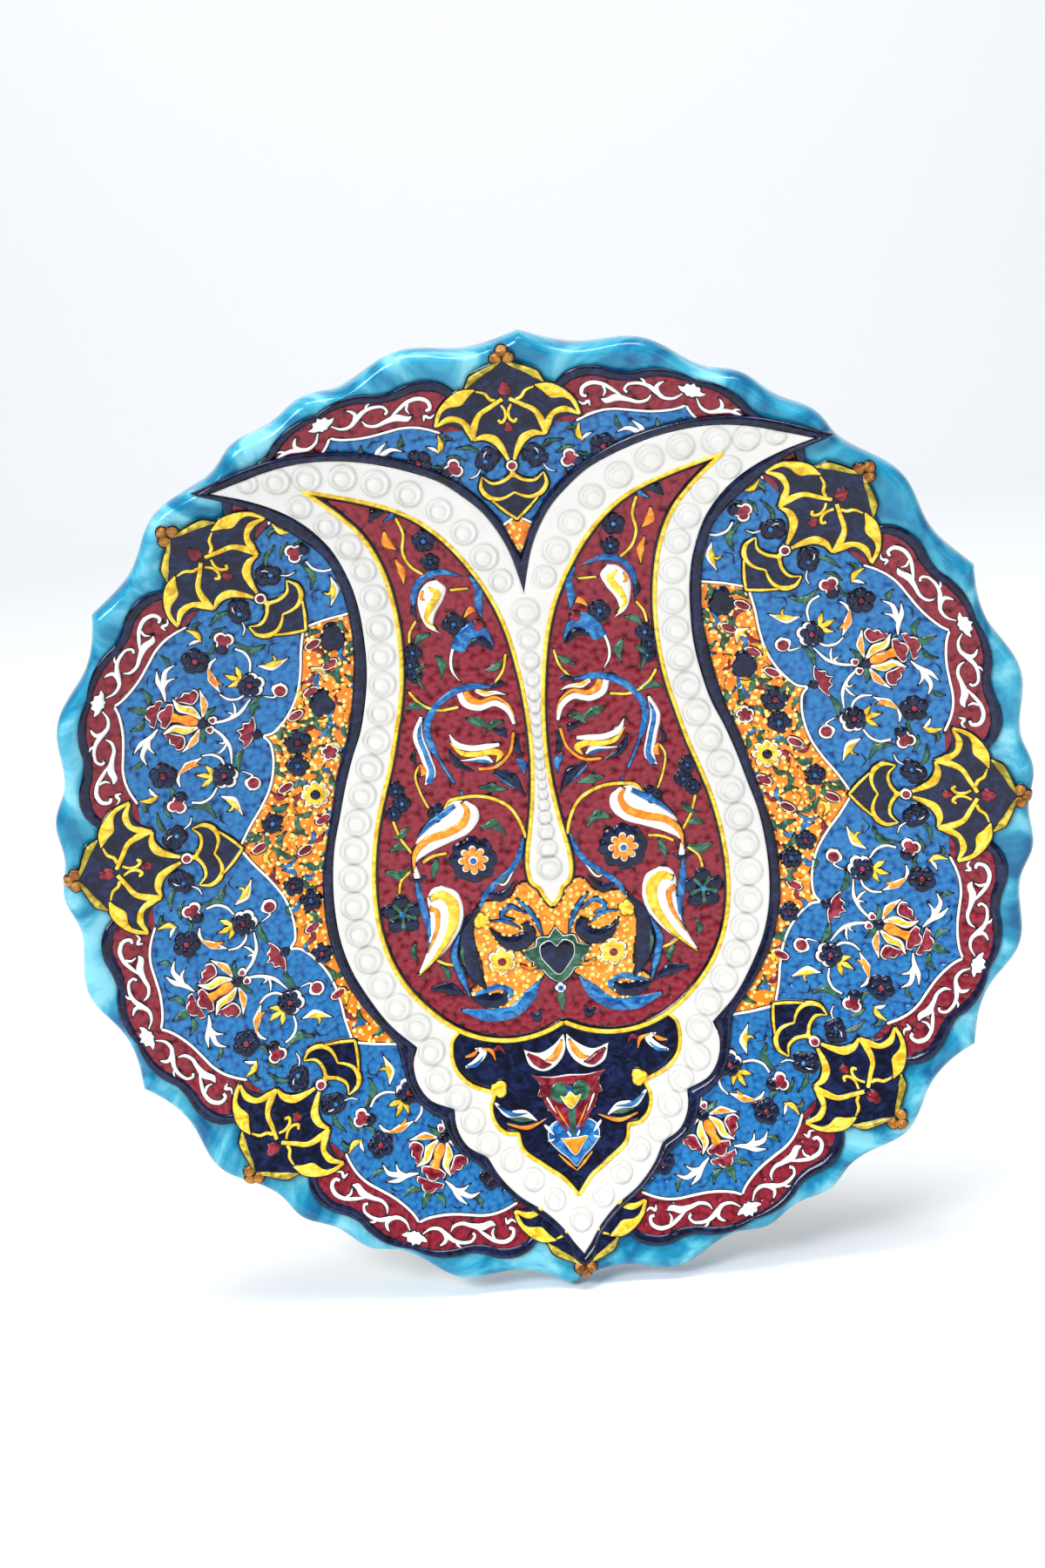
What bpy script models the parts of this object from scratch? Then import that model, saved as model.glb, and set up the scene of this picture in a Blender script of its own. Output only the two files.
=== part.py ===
"""A round wall plate in glazed earthenware, with a scalloped rim and raised enamel fields.

The plate hangs upright. +X is its right as it is looked at, +Z its top and -Y its front, so the
wall is the plane y = 0, which the foot ring's end touches. The origin is on that plane, midway
between the two wire holes in the foot ring, where the hanging wire meets its nail.

Every piece is drawn in the plate's own plan, x to the right, y up and z off the wall, in drawing
units of 1/153 of the plate's radius, and hangs from one empty that stands the plan upright.
"""

from math import atan2, ceil, cos, degrees, hypot, pi, radians, sin, sqrt

import bmesh
import bpy
from mathutils import Matrix, Vector
from mathutils.geometry import delaunay_2d_cdt, intersect_point_line

# Driving dimensions, in metres and degrees
PLATE_RADIUS = 0.150  # mean radius of the scalloped lip
RIM_WAVE = 0.0018  # how far a scallop stands out from that radius, or a hollow in
DISH_DEPTH = 0.0265  # from the flat well up to the rim's crest
WELL_RADIUS = 0.059  # where the flat well starts to rise
LIP_DROP = 0.0080  # how far the lip turns back behind the crest
LIP_WAVE = 0.0022  # how much less a scallop turns back, or a hollow more
WELL_WALL = 0.0065
RIM_WALL = 0.0050
LIP_WALL = 0.0030
FOOT_RADIUS = 0.075  # to the middle of the foot ring's wall
FOOT_WIDTH = 0.0070
FOOT_HEIGHT = 0.0070
HOLE_RADIUS = 0.0015  # the two wire holes
HOLE_ANGLE = 18.0  # of each wire hole from the top of the foot ring
CLEARANCE = 0.0003  # between pieces that touch
FIELD_RELIEF = 0.0010  # thickness of the painted fields
PALMETTE_RELIEF = 0.0018
TULIP_EDGE_RELIEF = 0.0030
TULIP_BAND_RELIEF = 0.0024
TULIP_FIELD_RELIEF = 0.0012
LEAF_RELIEF = 0.0014  # of the comma leaves, on top of the tulip's field

# Shape of the turned body
RIM_SWEEP = 1.5  # power of the rise from well to rim
RIM_SLICES = 120
CUSP_TURN = 2.0  # degrees clockwise from the top to a pointed scallop
SCALLOPS = ((0, 1), (6, -0.8), (13.5, 1), (21, -0.8), (25.5, 0.3), (30, -0.5))  # degrees from a point, height
SECTORS = 8
HALF_SECTOR = 180 / SECTORS

UNIT = PLATE_RADIUS / 153  # one drawing unit in metres
CREST_RADIUS = 148 * UNIT  # where the face stops rising and the lip turns back
GAP = CLEARANCE / UNIT
LINE_WIDTH = 2.2  # drawing units: the yellow line round the tulip's field
POINT_SPACING = 15.0  # drawing units between the inner points of a field, so that it follows the dish
SMALLEST_FIELD = 8.0  # square drawing units: a cut-off corner below this is left bare

# Colours of the glazes
TURQUOISE = (0.05, 0.42, 0.62)
NAVY = (0.008, 0.014, 0.07)
CRIMSON = (0.26, 0.012, 0.028)
BLUE = (0.012, 0.15, 0.42)
ORANGE = (0.87, 0.31, 0.02)
YELLOW = (0.90, 0.64, 0.05)
CREAM = (0.87, 0.84, 0.75)

# Right half of each outline, from the axis round to the axis, in drawing units.
# The sector's and the palmette's outlines have the plate's centre below them, at (0, 0).
PANEL_TOP = [(0, 147), (5, 147.7), (10, 147.2), (14.5, 145.6), (18.3, 143.4), (23, 142.7), (28.5, 142.2),
             (33.5, 140.6), (36.8, 138), (38.6, 134.6), (39.6, 131)]
PANEL_OGEE = [(29.6, 124.6), (26.6, 127.6), (23.5, 129.9), (20, 131.5), (15, 132.7), (10, 133.9),
              (5, 135.8), (2, 137.4), (0, 139)]
MEDALLION_FOOT = [(0, 93.5), (1.5, 91), (5, 89), (10, 87.5), (16, 86.9), (23, 87.8), (30, 89.5), (36.6, 90.6)]
PALMETTE = [(0, 112.4), (1.9, 114.4), (1.2, 116.4), (2.6, 119.3), (5.5, 122.6), (11.2, 123.2), (12.8, 126),
            (15.5, 128), (21.8, 128.2), (20.3, 132.8), (16.5, 137), (11.8, 139.4), (9, 142.4), (3.6, 145),
            (1.6, 145.6), (2.8, 146.6), (1.5, 147.6), (0, 147.9)]
PENDANT = [(0, 97), (3.4, 99.8), (6.8, 103.4), (9.2, 105.2), (10.1, 108), (9.8, 111.2), (8, 109.6),
           (4.6, 109.2), (2.2, 110.4), (1, 111.7), (0, 112)]
TULIP_OUTER = [(0, 86), (2.2, 91), (4.3, 96), (7.5, 101), (12, 106.5), (18, 111.8), (25, 116), (32, 119.3),
               (40, 122), (50, 124), (60, 124.7), (70, 124.2), (80, 122), (92.4, 115.4), (87.5, 113.3),
               (82, 110.3), (75, 105), (69.5, 100.5), (64.5, 96), (60.3, 91), (57.8, 85), (56.3, 79),
               (55.3, 70), (55.3, 60), (56.6, 50), (58.5, 40), (61, 31), (65, 20.5), (67.8, 10), (71, -2),
               (73.4, -12), (74.3, -24), (73.8, -35), (71.5, -45), (67.6, -54.5), (61, -65), (55.8, -72),
               (54.4, -79), (52.6, -87.5), (48.5, -94), (43, -98.3), (41.2, -104), (38, -109.3),
               (32.6, -113.3), (27.5, -119), (21, -125.4), (14.2, -130.6), (8.5, -135.8), (4.6, -141),
               (3.2, -145.5), (0, -147.6)]
TULIP_INNER = [(0, 73), (1.5, 80), (3.4, 87), (6.5, 94), (11, 101), (16, 106), (22, 111), (30, 115),
               (38, 118), (48, 120.6), (60, 121.8), (70, 121), (86.5, 115.4), (79.5, 112), (72.5, 108.5),
               (65, 103), (60, 97.3), (57, 92.5), (54.8, 87), (53, 81), (51.8, 74), (51.3, 64), (51.8, 52),
               (53.8, 41), (56, 33), (59.6, 24.5), (62.8, 15.5), (65.6, 6), (68.5, -4), (70.1, -14),
               (70.7, -25), (69.9, -36), (67.2, -46.5), (63, -55.5), (56.5, -66), (48.8, -74), (50.4, -79),
               (49.8, -85), (46.4, -91), (38.5, -95.3), (38.2, -101), (35.4, -107), (28.9, -111.5),
               (26, -117), (20, -124), (11, -130.5), (6, -135.5), (2.6, -140.2), (0, -143.3)]
TULIP_FIELD = [(0, -31), (2.5, -27.5), (3.8, -24.5), (6, -22.5), (7, -18), (6.6, -12), (5.2, -5), (3.4, 6),
               (2.3, 18), (2.4, 32), (4, 48), (6.8, 62), (9.3, 69.5), (12.5, 76.5), (16.5, 83.5), (21, 90),
               (26, 95.7), (32, 100.8), (38, 104.3), (45, 107.2), (63.5, 113.2), (53, 103), (48.5, 97.5),
               (45.2, 91), (43, 84.5), (41.2, 75), (40.4, 63), (41, 51), (42.6, 40.5), (45, 31), (47.7, 21),
               (50.8, 12), (54.2, 1), (56.7, -12), (57.6, -24), (57, -34.5), (54.6, -45), (50.4, -54),
               (43.4, -63), (34.5, -70.4), (29, -73.1), (22, -75), (14, -75.3), (6, -73.6), (0, -71)]
HEART = [(0, -28), (8, -22.5), (10.6, -22.8), (14, -27.2), (19, -28), (23.7, -27.5), (25.8, -34),
         (27, -41), (25.5, -47), (25.2, -54), (30, -58.7), (27.5, -62.5), (21, -65.8), (15, -65),
         (10.7, -61.8), (6.5, -56.8), (3, -53), (0, -52)]
CARTOUCHE = [(0, -69), (34, -69), (37, -73), (37.8, -77.5), (36.8, -83), (33, -87.8), (24.8, -91.8),
             (26.4, -96), (25.6, -101), (22.5, -104.6), (18.3, -105.4), (17.6, -109.4), (10.5, -116),
             (4.5, -120.5), (0, -126)]
# Whole outlines of the comma leaves on the tulip's right half
COMMA_LEAVES = [
    [(26.7, 80), (24, 76.8), (25.3, 73.3), (28.6, 68.2), (29.2, 65.5), (27.7, 62.5), (31.4, 64.8), (33.3, 70),
     (32, 76.7), (29.5, 79.3)],
    [(23.4, 43), (23.4, 39.4), (21.2, 36.9), (17.5, 36.4), (10.6, 36.8), (8.2, 34.6), (7.4, 30.6), (5.8, 30.8),
     (5.8, 34.5), (9, 39.8), (13.5, 40.6), (18.5, 44)],
    [(27.8, 29.2), (26.5, 26.6), (24, 24.8), (20, 24.3), (12.8, 25), (11.2, 22.5), (14.7, 18.2), (17, 19.6),
     (21, 19.8), (25, 20.5), (28.6, 26.3)],
    [(43.9, -17.2), (44, -11.5), (41, -3.5), (36.5, 1), (27.5, 6.7), (23.7, 6.6), (21.2, 3.8), (21.5, 0),
     (24.4, -3.7), (36.2, -8.1), (40, -10.7), (41.7, -17.2)],
    [(36.2, -20.8), (40, -22.8), (40.6, -26), (40.2, -32.5), (42, -41), (46, -50.5), (35.5, -41.7),
     (31.5, -37), (29.3, -31), (29.5, -25.5), (32, -22)],
]


def clear_scene():
    for leftover in list(bpy.data.objects):
        bpy.data.objects.remove(leftover, do_unlink=True)


def glaze(name, colour):
    """A glossy fired glaze."""
    material = bpy.data.materials.new(name)
    material.use_nodes = True
    shader = material.node_tree.nodes["Principled BSDF"]
    shader.inputs["Base Color"].default_value = (*colour, 1)
    shader.inputs["Roughness"].default_value = 0.12
    shader.inputs["Metallic"].default_value = 0.0
    return material


def hang(name, mesh, material, plan):
    """Makes the mesh an object of the plate, shaded smooth between its sharp edges."""
    mesh.shade_smooth()
    mesh.set_sharp_from_angle(angle=radians(35))
    piece = bpy.data.objects.new(name, mesh)
    piece.data.materials.append(material)
    piece.parent = plan
    bpy.context.scene.collection.objects.link(piece)
    return piece


# The turned body


def rise_share(radius):
    return max(0.0, radius - WELL_RADIUS) / (CREST_RADIUS - WELL_RADIUS)


def face_height(radius):
    """Height of the glazed face off the wall: a flat well, then a rise that steepens to the crest."""
    return FOOT_HEIGHT + WELL_WALL + DISH_DEPTH * rise_share(radius) ** RIM_SWEEP


def back_height(radius):
    """Height of the back, one wall behind the face, which thins from the well to the crest."""
    return face_height(radius) - (WELL_WALL + (RIM_WALL - WELL_WALL) * rise_share(radius))


def lip_curve(share):
    """Radius, height and inward normal of the lip's outer skin, which curls back from the crest."""
    crest = Vector((CREST_RADIUS, face_height(CREST_RADIUS)))
    end = Vector((PLATE_RADIUS, crest.y - LIP_DROP))
    pull = Vector((PLATE_RADIUS - (PLATE_RADIUS - CREST_RADIUS) * 0.1, crest.y + LIP_DROP * 0.12))
    spot = crest * (1 - share) ** 2 + pull * 2 * share * (1 - share) + end * share**2
    along = ((pull - crest) * (1 - share) + (end - pull) * share).normalized()
    return spot, Vector((along.y, -along.x))


def scallop(angle):
    """Height of the rim's wave, -1 to 1: six pointed scallops with round ones between them."""
    off_point = abs((degrees(angle) - CUSP_TURN + 30) % 60 - 30)
    for (start, low), (end, high) in zip(SCALLOPS, SCALLOPS[1:]):
        if off_point <= end:
            share = (off_point - start) / (end - start)
            eased = sin(share * pi / 2) if start == 0 else (1 - cos(share * pi)) / 2
            return low + (high - low) * eased
    return SCALLOPS[-1][1]


def body_profile():
    """Radius and height round half the plate's section, from the face's centre to the back's."""
    rise = CREST_RADIUS - WELL_RADIUS
    face_radii = [0.0, WELL_RADIUS / 2] + [WELL_RADIUS + rise * step / 6 for step in range(7)]
    profile = [(radius, face_height(radius)) for radius in face_radii]
    for share in (0.25, 0.5, 0.75, 1.0):
        spot, _ = lip_curve(share)
        profile.append(tuple(spot))
    for share in (1.0, 0.55, 0.2):
        spot, inward = lip_curve(share)
        wall = LIP_WALL * share + RIM_WALL * (1 - share)
        profile.append(tuple(spot + inward * wall))
    foot_out = FOOT_RADIUS + FOOT_WIDTH / 2
    foot_in = FOOT_RADIUS - FOOT_WIDTH / 2
    back_run = CREST_RADIUS - RIM_WALL - foot_out
    back_radii = [foot_out + back_run * step / 3 for step in (3, 2, 1, 0)]
    profile += [(radius, back_height(radius)) for radius in back_radii]
    ease = FOOT_WIDTH / 6
    profile += [(foot_out, ease), (foot_out - ease, 0.0), (foot_in + ease, 0.0), (foot_in, ease)]
    profile += [(foot_in, back_height(foot_in)), (0.0, back_height(0.0))]
    return profile


def plate_mesh():
    """The profile turned about the plate's axis, then its outer part drawn out into scallops."""
    shape = bmesh.new()
    corners = [shape.verts.new((radius, 0, height)) for radius, height in body_profile()]
    edges = [shape.edges.new(pair) for pair in zip(corners, corners[1:])]
    bmesh.ops.spin(shape, geom=corners + edges, cent=(0, 0, 0), axis=(0, 0, 1), angle=2 * pi,
                   steps=RIM_SLICES, use_merge=True, use_duplicate=False)
    bmesh.ops.remove_doubles(shape, verts=shape.verts, dist=1e-6)
    for corner in shape.verts:
        radius = hypot(corner.co.x, corner.co.y)
        share = (radius - CREST_RADIUS) / (PLATE_RADIUS - CREST_RADIUS)
        if share > 0.01:
            wave = share * scallop(atan2(corner.co.x, corner.co.y))
            corner.co.x *= 1 + RIM_WAVE * wave / radius
            corner.co.y *= 1 + RIM_WAVE * wave / radius
            corner.co.z += LIP_WAVE * wave
    bmesh.ops.recalc_face_normals(shape, faces=shape.faces)
    mesh = bpy.data.meshes.new("plate_body")
    shape.to_mesh(mesh)
    shape.free()
    return mesh


def wire_hole_cutter(side, plan):
    """A pin through the foot ring's wall, pointing away from the plate's axis."""
    shape = bmesh.new()
    bmesh.ops.create_cone(shape, cap_ends=True, segments=16, radius1=HOLE_RADIUS, radius2=HOLE_RADIUS,
                          depth=3 * FOOT_WIDTH)
    turn = radians(side * HOLE_ANGLE)
    outwards = Matrix.Rotation(-turn, 4, "Z") @ Matrix.Rotation(-pi / 2, 4, "X")
    middle = Vector((FOOT_RADIUS * sin(turn), FOOT_RADIUS * cos(turn), FOOT_HEIGHT / 2))
    bmesh.ops.transform(shape, matrix=Matrix.Translation(middle) @ outwards, verts=shape.verts)
    mesh = bpy.data.meshes.new("wire_hole_cutter")
    shape.to_mesh(mesh)
    shape.free()
    cutter = bpy.data.objects.new("wire_hole_cutter", mesh)
    cutter.parent = plan
    cutter.hide_render = True
    cutter.display_type = "WIRE"
    bpy.context.scene.collection.objects.link(cutter)
    return cutter


def make_body(plan):
    body = hang("plate_body", plate_mesh(), glaze("turquoise_glaze", TURQUOISE), plan)
    for side in (-1, 1):
        cut = body.modifiers.new("wire_hole", "BOOLEAN")
        cut.operation = "DIFFERENCE"
        cut.object = wire_hole_cutter(side, plan)


# The raised fields


def signed_area(outline):
    """Positive where the outline runs anticlockwise."""
    return sum(a[0] * b[1] - b[0] * a[1] for a, b in zip(outline, outline[1:] + outline[:1])) / 2


def mirrored(half):
    """A closed outline from its right half, which starts and ends on the axis."""
    return half + [(-x, y) for x, y in reversed(half[1:-1])]


def turned(outline, angle):
    """The outline turned clockwise about the plate's centre."""
    turn = radians(angle)
    return [(x * cos(turn) + y * sin(turn), y * cos(turn) - x * sin(turn)) for x, y in outline]


def distance_to(point, outline):
    """From the point to the nearest side of the outline."""
    nearest = float("inf")
    for start, end in zip(outline, outline[1:] + outline[:1]):
        start, end = Vector((*start, 0)), Vector((*end, 0))
        foot, share = intersect_point_line(Vector((*point, 0)), start, end)
        foot = start if share < 0 else end if share > 1 else foot
        nearest = min(nearest, hypot(point[0] - foot.x, point[1] - foot.y))
    return nearest


def grown(outline, by):
    """The outline moved outwards by a distance, or inwards by a negative one, with mitred corners."""
    side = by if signed_area(outline) > 0 else -by
    moved = []
    for before, here, after in zip(outline[-1:] + outline[:-1], outline, outline[1:] + outline[:1]):
        first = (Vector(here) - Vector(before)).normalized()
        second = (Vector(after) - Vector(here)).normalized()
        outward = Vector((first.y + second.y, -first.x - second.x)).normalized()
        reach = side / max(0.15, outward.dot(Vector((first.y, -first.x))))
        moved.append((here[0] + outward.x * reach, here[1] + outward.y * reach))
    return [point for point in moved if distance_to(point, outline) > 0.97 * abs(by)]


def inside(point, outline):
    crossings = 0
    for (x0, y0), (x1, y1) in zip(outline, outline[1:] + outline[:1]):
        if (y0 > point[1]) != (y1 > point[1]):
            crossings += point[0] < x0 + (point[1] - y0) * (x1 - x0) / (y1 - y0)
    return crossings % 2 == 1


def spread_points(within, without):
    """A triangular grid of points well inside a field, which lets it bend with the dish."""
    xs = [x for x, _ in within[0]]
    ys = [y for _, y in within[0]]
    row_height = POINT_SPACING * sqrt(3) / 2
    points = []
    for row in range(ceil((max(ys) - min(ys)) / row_height) + 1):
        for column in range(ceil((max(xs) - min(xs)) / POINT_SPACING) + 1):
            point = (min(xs) + (column + row % 2 / 2) * POINT_SPACING, min(ys) + row * row_height)
            held = all(inside(point, outline) for outline in within)
            cut_off = any(inside(point, outline) for outline in without)
            if held and not cut_off:
                if min(distance_to(point, outline) for outline in within + without) > POINT_SPACING / 3:
                    points.append(point)
    return points


def neighbours(triangles):
    """For each triangle, those that share a side with it."""
    by_side = {}
    for number, corners in enumerate(triangles):
        for pair in zip(corners, corners[1:] + corners[:1]):
            by_side.setdefault(frozenset(pair), []).append(number)
    joined = [[] for _ in triangles]
    for sharing in by_side.values():
        for number in sharing:
            joined[number] += [other for other in sharing if other != number]
    return joined


def in_pieces(triangles):
    """The triangles in groups that hang together."""
    joined = neighbours(triangles)
    left = set(range(len(triangles)))
    pieces = []
    while left:
        reached = [left.pop()]
        for number in reached:
            fresh = [other for other in joined[number] if other in left]
            left.difference_update(fresh)
            reached += fresh
        pieces.append([triangles[number] for number in reached])
    return pieces


def plan_area(points, triangles):
    total = 0.0
    for a, b, c in triangles:
        total += abs((points[b] - points[a]).cross(points[c] - points[a])) / 2
    return total


def triangulated(within, without):
    """Points and groups of triangles that cover what is inside every first outline and no second one.

    The groups run from the largest to the smallest, and from left to right where they are alike.
    """
    points, faces = [], []
    for outline in within + without:
        faces.append(list(range(len(points), len(points) + len(outline))))
        points += outline if signed_area(outline) > 0 else outline[::-1]
    points += spread_points(within, without)
    found = delaunay_2d_cdt([Vector(point) for point in points], [], faces, 0, 1e-4)
    wanted = set(range(len(within)))
    triangles = [list(face) for face, origin in zip(found[2], found[5]) if set(origin) == wanted]
    pieces = [piece for piece in in_pieces(triangles) if plan_area(found[0], piece) > SMALLEST_FIELD]
    pieces.sort(key=lambda piece: (-round(plan_area(found[0], piece)), found[0][piece[0][0]].x))
    return found[0], pieces


def slab(name, points, triangles, under, thickness):
    """A closed slab over the triangles, lying that far above the plate's face."""
    used = sorted({corner for triangle in triangles for corner in triangle})
    shape = bmesh.new()
    low, high = {}, {}
    for corner in used:
        x, y = points[corner] * UNIT
        height = face_height(hypot(x, y)) + under
        low[corner] = shape.verts.new((x, y, height))
        high[corner] = shape.verts.new((x, y, height + thickness))
    sides = {pair for a, b, c in triangles for pair in ((a, b), (b, c), (c, a))}
    for a, b, c in triangles:
        shape.faces.new((high[a], high[b], high[c]))
        shape.faces.new((low[c], low[b], low[a]))
    for a, b in sides:
        if (b, a) not in sides:
            shape.faces.new((low[a], low[b], high[b], high[a]))
    bmesh.ops.recalc_face_normals(shape, faces=shape.faces)
    mesh = bpy.data.meshes.new(name)
    shape.to_mesh(mesh)
    shape.free()
    return mesh


def lay(names, material, thickness, plan, within, without=(), under=CLEARANCE):
    """Lays a field on the plate. Each stretch that its neighbours cut off is a piece with a name of its own."""
    points, pieces = triangulated(list(within), list(without))
    for number, triangles in enumerate(pieces):
        name = names[number] if number < len(names) else f"{names[0]}_{number + 1}"
        hang(name, slab(name, points, triangles, under, thickness), material, plan)


def medallion_sides():
    """From the medallion's foot up one sector's edge, a hair short of the next sector."""
    edge = radians(HALF_SECTOR) - GAP / 100
    return [(125.8 * sin(edge), 125.8 * cos(edge)), (34.5, 126.5)]


def make_border(plan):
    """The ring of crimson panels, blue medallions, navy palmettes and pendants, and the gold ground."""
    navy = glaze("navy_glaze", NAVY)
    tulip = grown(mirrored(TULIP_OUTER), GAP)
    palmettes = [turned(mirrored(PALMETTE), step * 360 / SECTORS) for step in range(SECTORS)]
    pendants = [turned(mirrored(PENDANT), step * 360 / SECTORS) for step in range(SECTORS)]
    places = ("top", "upper_right", "right", "lower_right", "bottom", "lower_left", "left", "upper_left")
    for place, palmette, pendant in zip(places, palmettes, pendants):
        halves = [f"palmette_{place}_left", f"palmette_{place}_right"]
        names = halves if place == "bottom" else [f"palmette_{place}"]
        lay(names, navy, PALMETTE_RELIEF, plan, [palmette], [tulip])
        lay([f"pendant_{place}"], navy, PALMETTE_RELIEF, plan, [pendant], [tulip])
    crimson = glaze("crimson_glaze", CRIMSON)
    blue = glaze("blue_glaze", BLUE)
    for step in range(SECTORS):
        angle = HALF_SECTOR + step * 360 / SECTORS
        beside = [grown(shapes[number % SECTORS], GAP) for shapes in (palmettes, pendants)
                  for number in (step, step + 1)]
        panel = turned(mirrored(PANEL_TOP + PANEL_OGEE), angle)
        names = [f"border_panel_{step + 1}", f"border_panel_{step + 1}_corner"]
        lay(names, crimson, FIELD_RELIEF, plan, [panel], [tulip] + beside[:2])
        foot_and_sides = MEDALLION_FOOT + medallion_sides()
        medallion = turned(mirrored(foot_and_sides + PANEL_OGEE), angle)
        names = [f"medallion_{step + 1}", f"medallion_{step + 1}_corner"]
        lay(names, blue, FIELD_RELIEF, plan, [medallion], [tulip, grown(panel, GAP)] + beside)
    ground = []
    for step in range(SECTORS):
        lobes = [(-x, y) for x, y in reversed(MEDALLION_FOOT[1:])] + MEDALLION_FOOT
        ground += turned(lobes, HALF_SECTOR + step * 360 / SECTORS)
    ground = grown(ground, -GAP)
    lay(["gold_ground_left", "gold_ground_right", "gold_ground_top"], glaze("gold_glaze", ORANGE),
        FIELD_RELIEF, plan, [ground], [tulip] + [grown(pendant, GAP) for pendant in pendants])


def make_tulip(plan):
    """The big tulip: navy edge, cream band, yellow line, crimson field, gold heart, navy base."""
    outer = mirrored(TULIP_OUTER)
    inner = mirrored(TULIP_INNER)
    field = mirrored(TULIP_FIELD)
    heart = mirrored(HEART)
    cartouche = mirrored(CARTOUCHE)
    within_line = grown(field, -LINE_WIDTH)
    lay(["tulip_edge"], glaze("navy_edge_glaze", NAVY), TULIP_EDGE_RELIEF, plan, [outer], [inner])
    lay(["tulip_band"], glaze("cream_glaze", CREAM), TULIP_BAND_RELIEF, plan, [grown(inner, -GAP)],
        [grown(field, GAP), grown(cartouche, GAP)])
    lay(["tulip_line"], glaze("yellow_glaze", YELLOW), TULIP_BAND_RELIEF, plan, [field], [within_line])
    lay(["base_cartouche"], glaze("navy_base_glaze", NAVY), TULIP_FIELD_RELIEF, plan, [cartouche],
        [grown(field, GAP)])
    bed = grown(within_line, -GAP)
    lay(["tulip_field"], glaze("crimson_field_glaze", CRIMSON), TULIP_FIELD_RELIEF, plan, [bed],
        [grown(heart, GAP)])
    lay(["gold_heart"], glaze("gold_heart_glaze", ORANGE), TULIP_FIELD_RELIEF, plan, [bed, heart])


def make_comma_leaves(plan):
    """The thick white and yellow leaves that lie on the tulip's field."""
    white = glaze("white_glaze", CREAM)
    under = 2 * CLEARANCE + TULIP_FIELD_RELIEF
    for number, leaf in enumerate(COMMA_LEAVES, 1):
        other_side = [(-x, y) for x, y in leaf]
        lay([f"comma_leaf_right_{number}"], white, LEAF_RELIEF, plan, [leaf], under=under)
        lay([f"comma_leaf_left_{number}"], white, LEAF_RELIEF, plan, [other_side], under=under)


def make_plate():
    clear_scene()
    plan = bpy.data.objects.new("plate_plan", None)
    plan.rotation_euler = (pi / 2, 0, 0)
    plan.location = (0, 0, -FOOT_RADIUS * cos(radians(HOLE_ANGLE)))
    bpy.context.scene.collection.objects.link(plan)
    make_body(plan)
    make_border(plan)
    make_tulip(plan)
    make_comma_leaves(plan)


make_plate()
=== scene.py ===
from math import pi, radians

import bpy
import numpy as np
from mathutils import Matrix, Vector


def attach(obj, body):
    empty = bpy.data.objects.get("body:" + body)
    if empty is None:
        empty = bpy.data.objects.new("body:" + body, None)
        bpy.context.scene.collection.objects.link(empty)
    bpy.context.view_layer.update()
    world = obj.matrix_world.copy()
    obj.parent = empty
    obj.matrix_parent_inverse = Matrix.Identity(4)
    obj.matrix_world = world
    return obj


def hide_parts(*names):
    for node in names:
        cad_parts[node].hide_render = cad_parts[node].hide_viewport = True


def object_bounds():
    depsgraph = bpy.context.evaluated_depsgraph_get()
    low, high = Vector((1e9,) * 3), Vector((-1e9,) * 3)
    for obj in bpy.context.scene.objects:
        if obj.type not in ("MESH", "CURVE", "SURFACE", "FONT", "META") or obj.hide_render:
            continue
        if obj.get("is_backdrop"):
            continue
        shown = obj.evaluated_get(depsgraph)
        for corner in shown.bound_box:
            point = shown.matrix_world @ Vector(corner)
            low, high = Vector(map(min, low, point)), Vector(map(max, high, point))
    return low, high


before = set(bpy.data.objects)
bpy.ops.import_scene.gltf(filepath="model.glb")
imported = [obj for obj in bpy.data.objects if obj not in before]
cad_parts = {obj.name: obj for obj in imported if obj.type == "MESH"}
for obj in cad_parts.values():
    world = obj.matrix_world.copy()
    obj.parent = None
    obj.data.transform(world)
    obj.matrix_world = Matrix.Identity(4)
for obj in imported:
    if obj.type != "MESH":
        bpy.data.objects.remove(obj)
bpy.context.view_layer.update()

# ---------------------------------------------------------------------------------------------
# The plate's body: red earthenware pressed in a mould, dipped in white slip and glazed. Its face
# and its turned-back, scalloped lip are brushed with turquoise glaze, which pools and runs paler.
# The back is clear-glazed over the slip, and the foot ring's end is left bare to stand in the kiln.
# ---------------------------------------------------------------------------------------------
PLATE_RADIUS = 0.150
UNIT = PLATE_RADIUS / 153  # the drawing unit, in which every plan below is drawn
CENTRE_HEIGHT = -0.075 * np.cos(radians(18))  # of the plate's middle, below the nail
CREST = 148.0  # from here down to the foot ring all sizes are in drawing units
WELL = 0.059 / UNIT
FOOT_HEIGHT = 0.007 / UNIT
WELL_WALL = 0.0065 / UNIT
RIM_WALL = 0.005 / UNIT
LIP_WALL = 0.003 / UNIT
DISH_DEPTH = 0.0265 / UNIT
LIP_DROP = 0.008 / UNIT
RIM_WAVE = 0.0020 / UNIT
LIP_WAVE = 0.0030 / UNIT
FOOT_INNER, FOOT_OUTER = 0.0715 / UNIT, 0.0785 / UNIT
HOLE_RADIUS = 0.0015 / UNIT
HOLE_ANGLE = radians(18)  # of each wire hole from the foot ring's top
LIP_RADIUS = 153.0
SCALLOPS = ((0, 1), (6, -0.8), (13.5, 1), (21, -0.8), (25.5, 0.3), (30, -0.5))  # degrees, wave
FIRST_POINT, POINT_GAP = 2, 60  # degrees: where the rim's first point is, and from each to the next
DISH_POWER = 1.5
HOLE_SIDES = 24


def rise_share(radius):
    """How far out a place is from the well, 0, to the crest, 1."""
    return np.clip(radius - WELL, 0, None) / (CREST - WELL)


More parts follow.
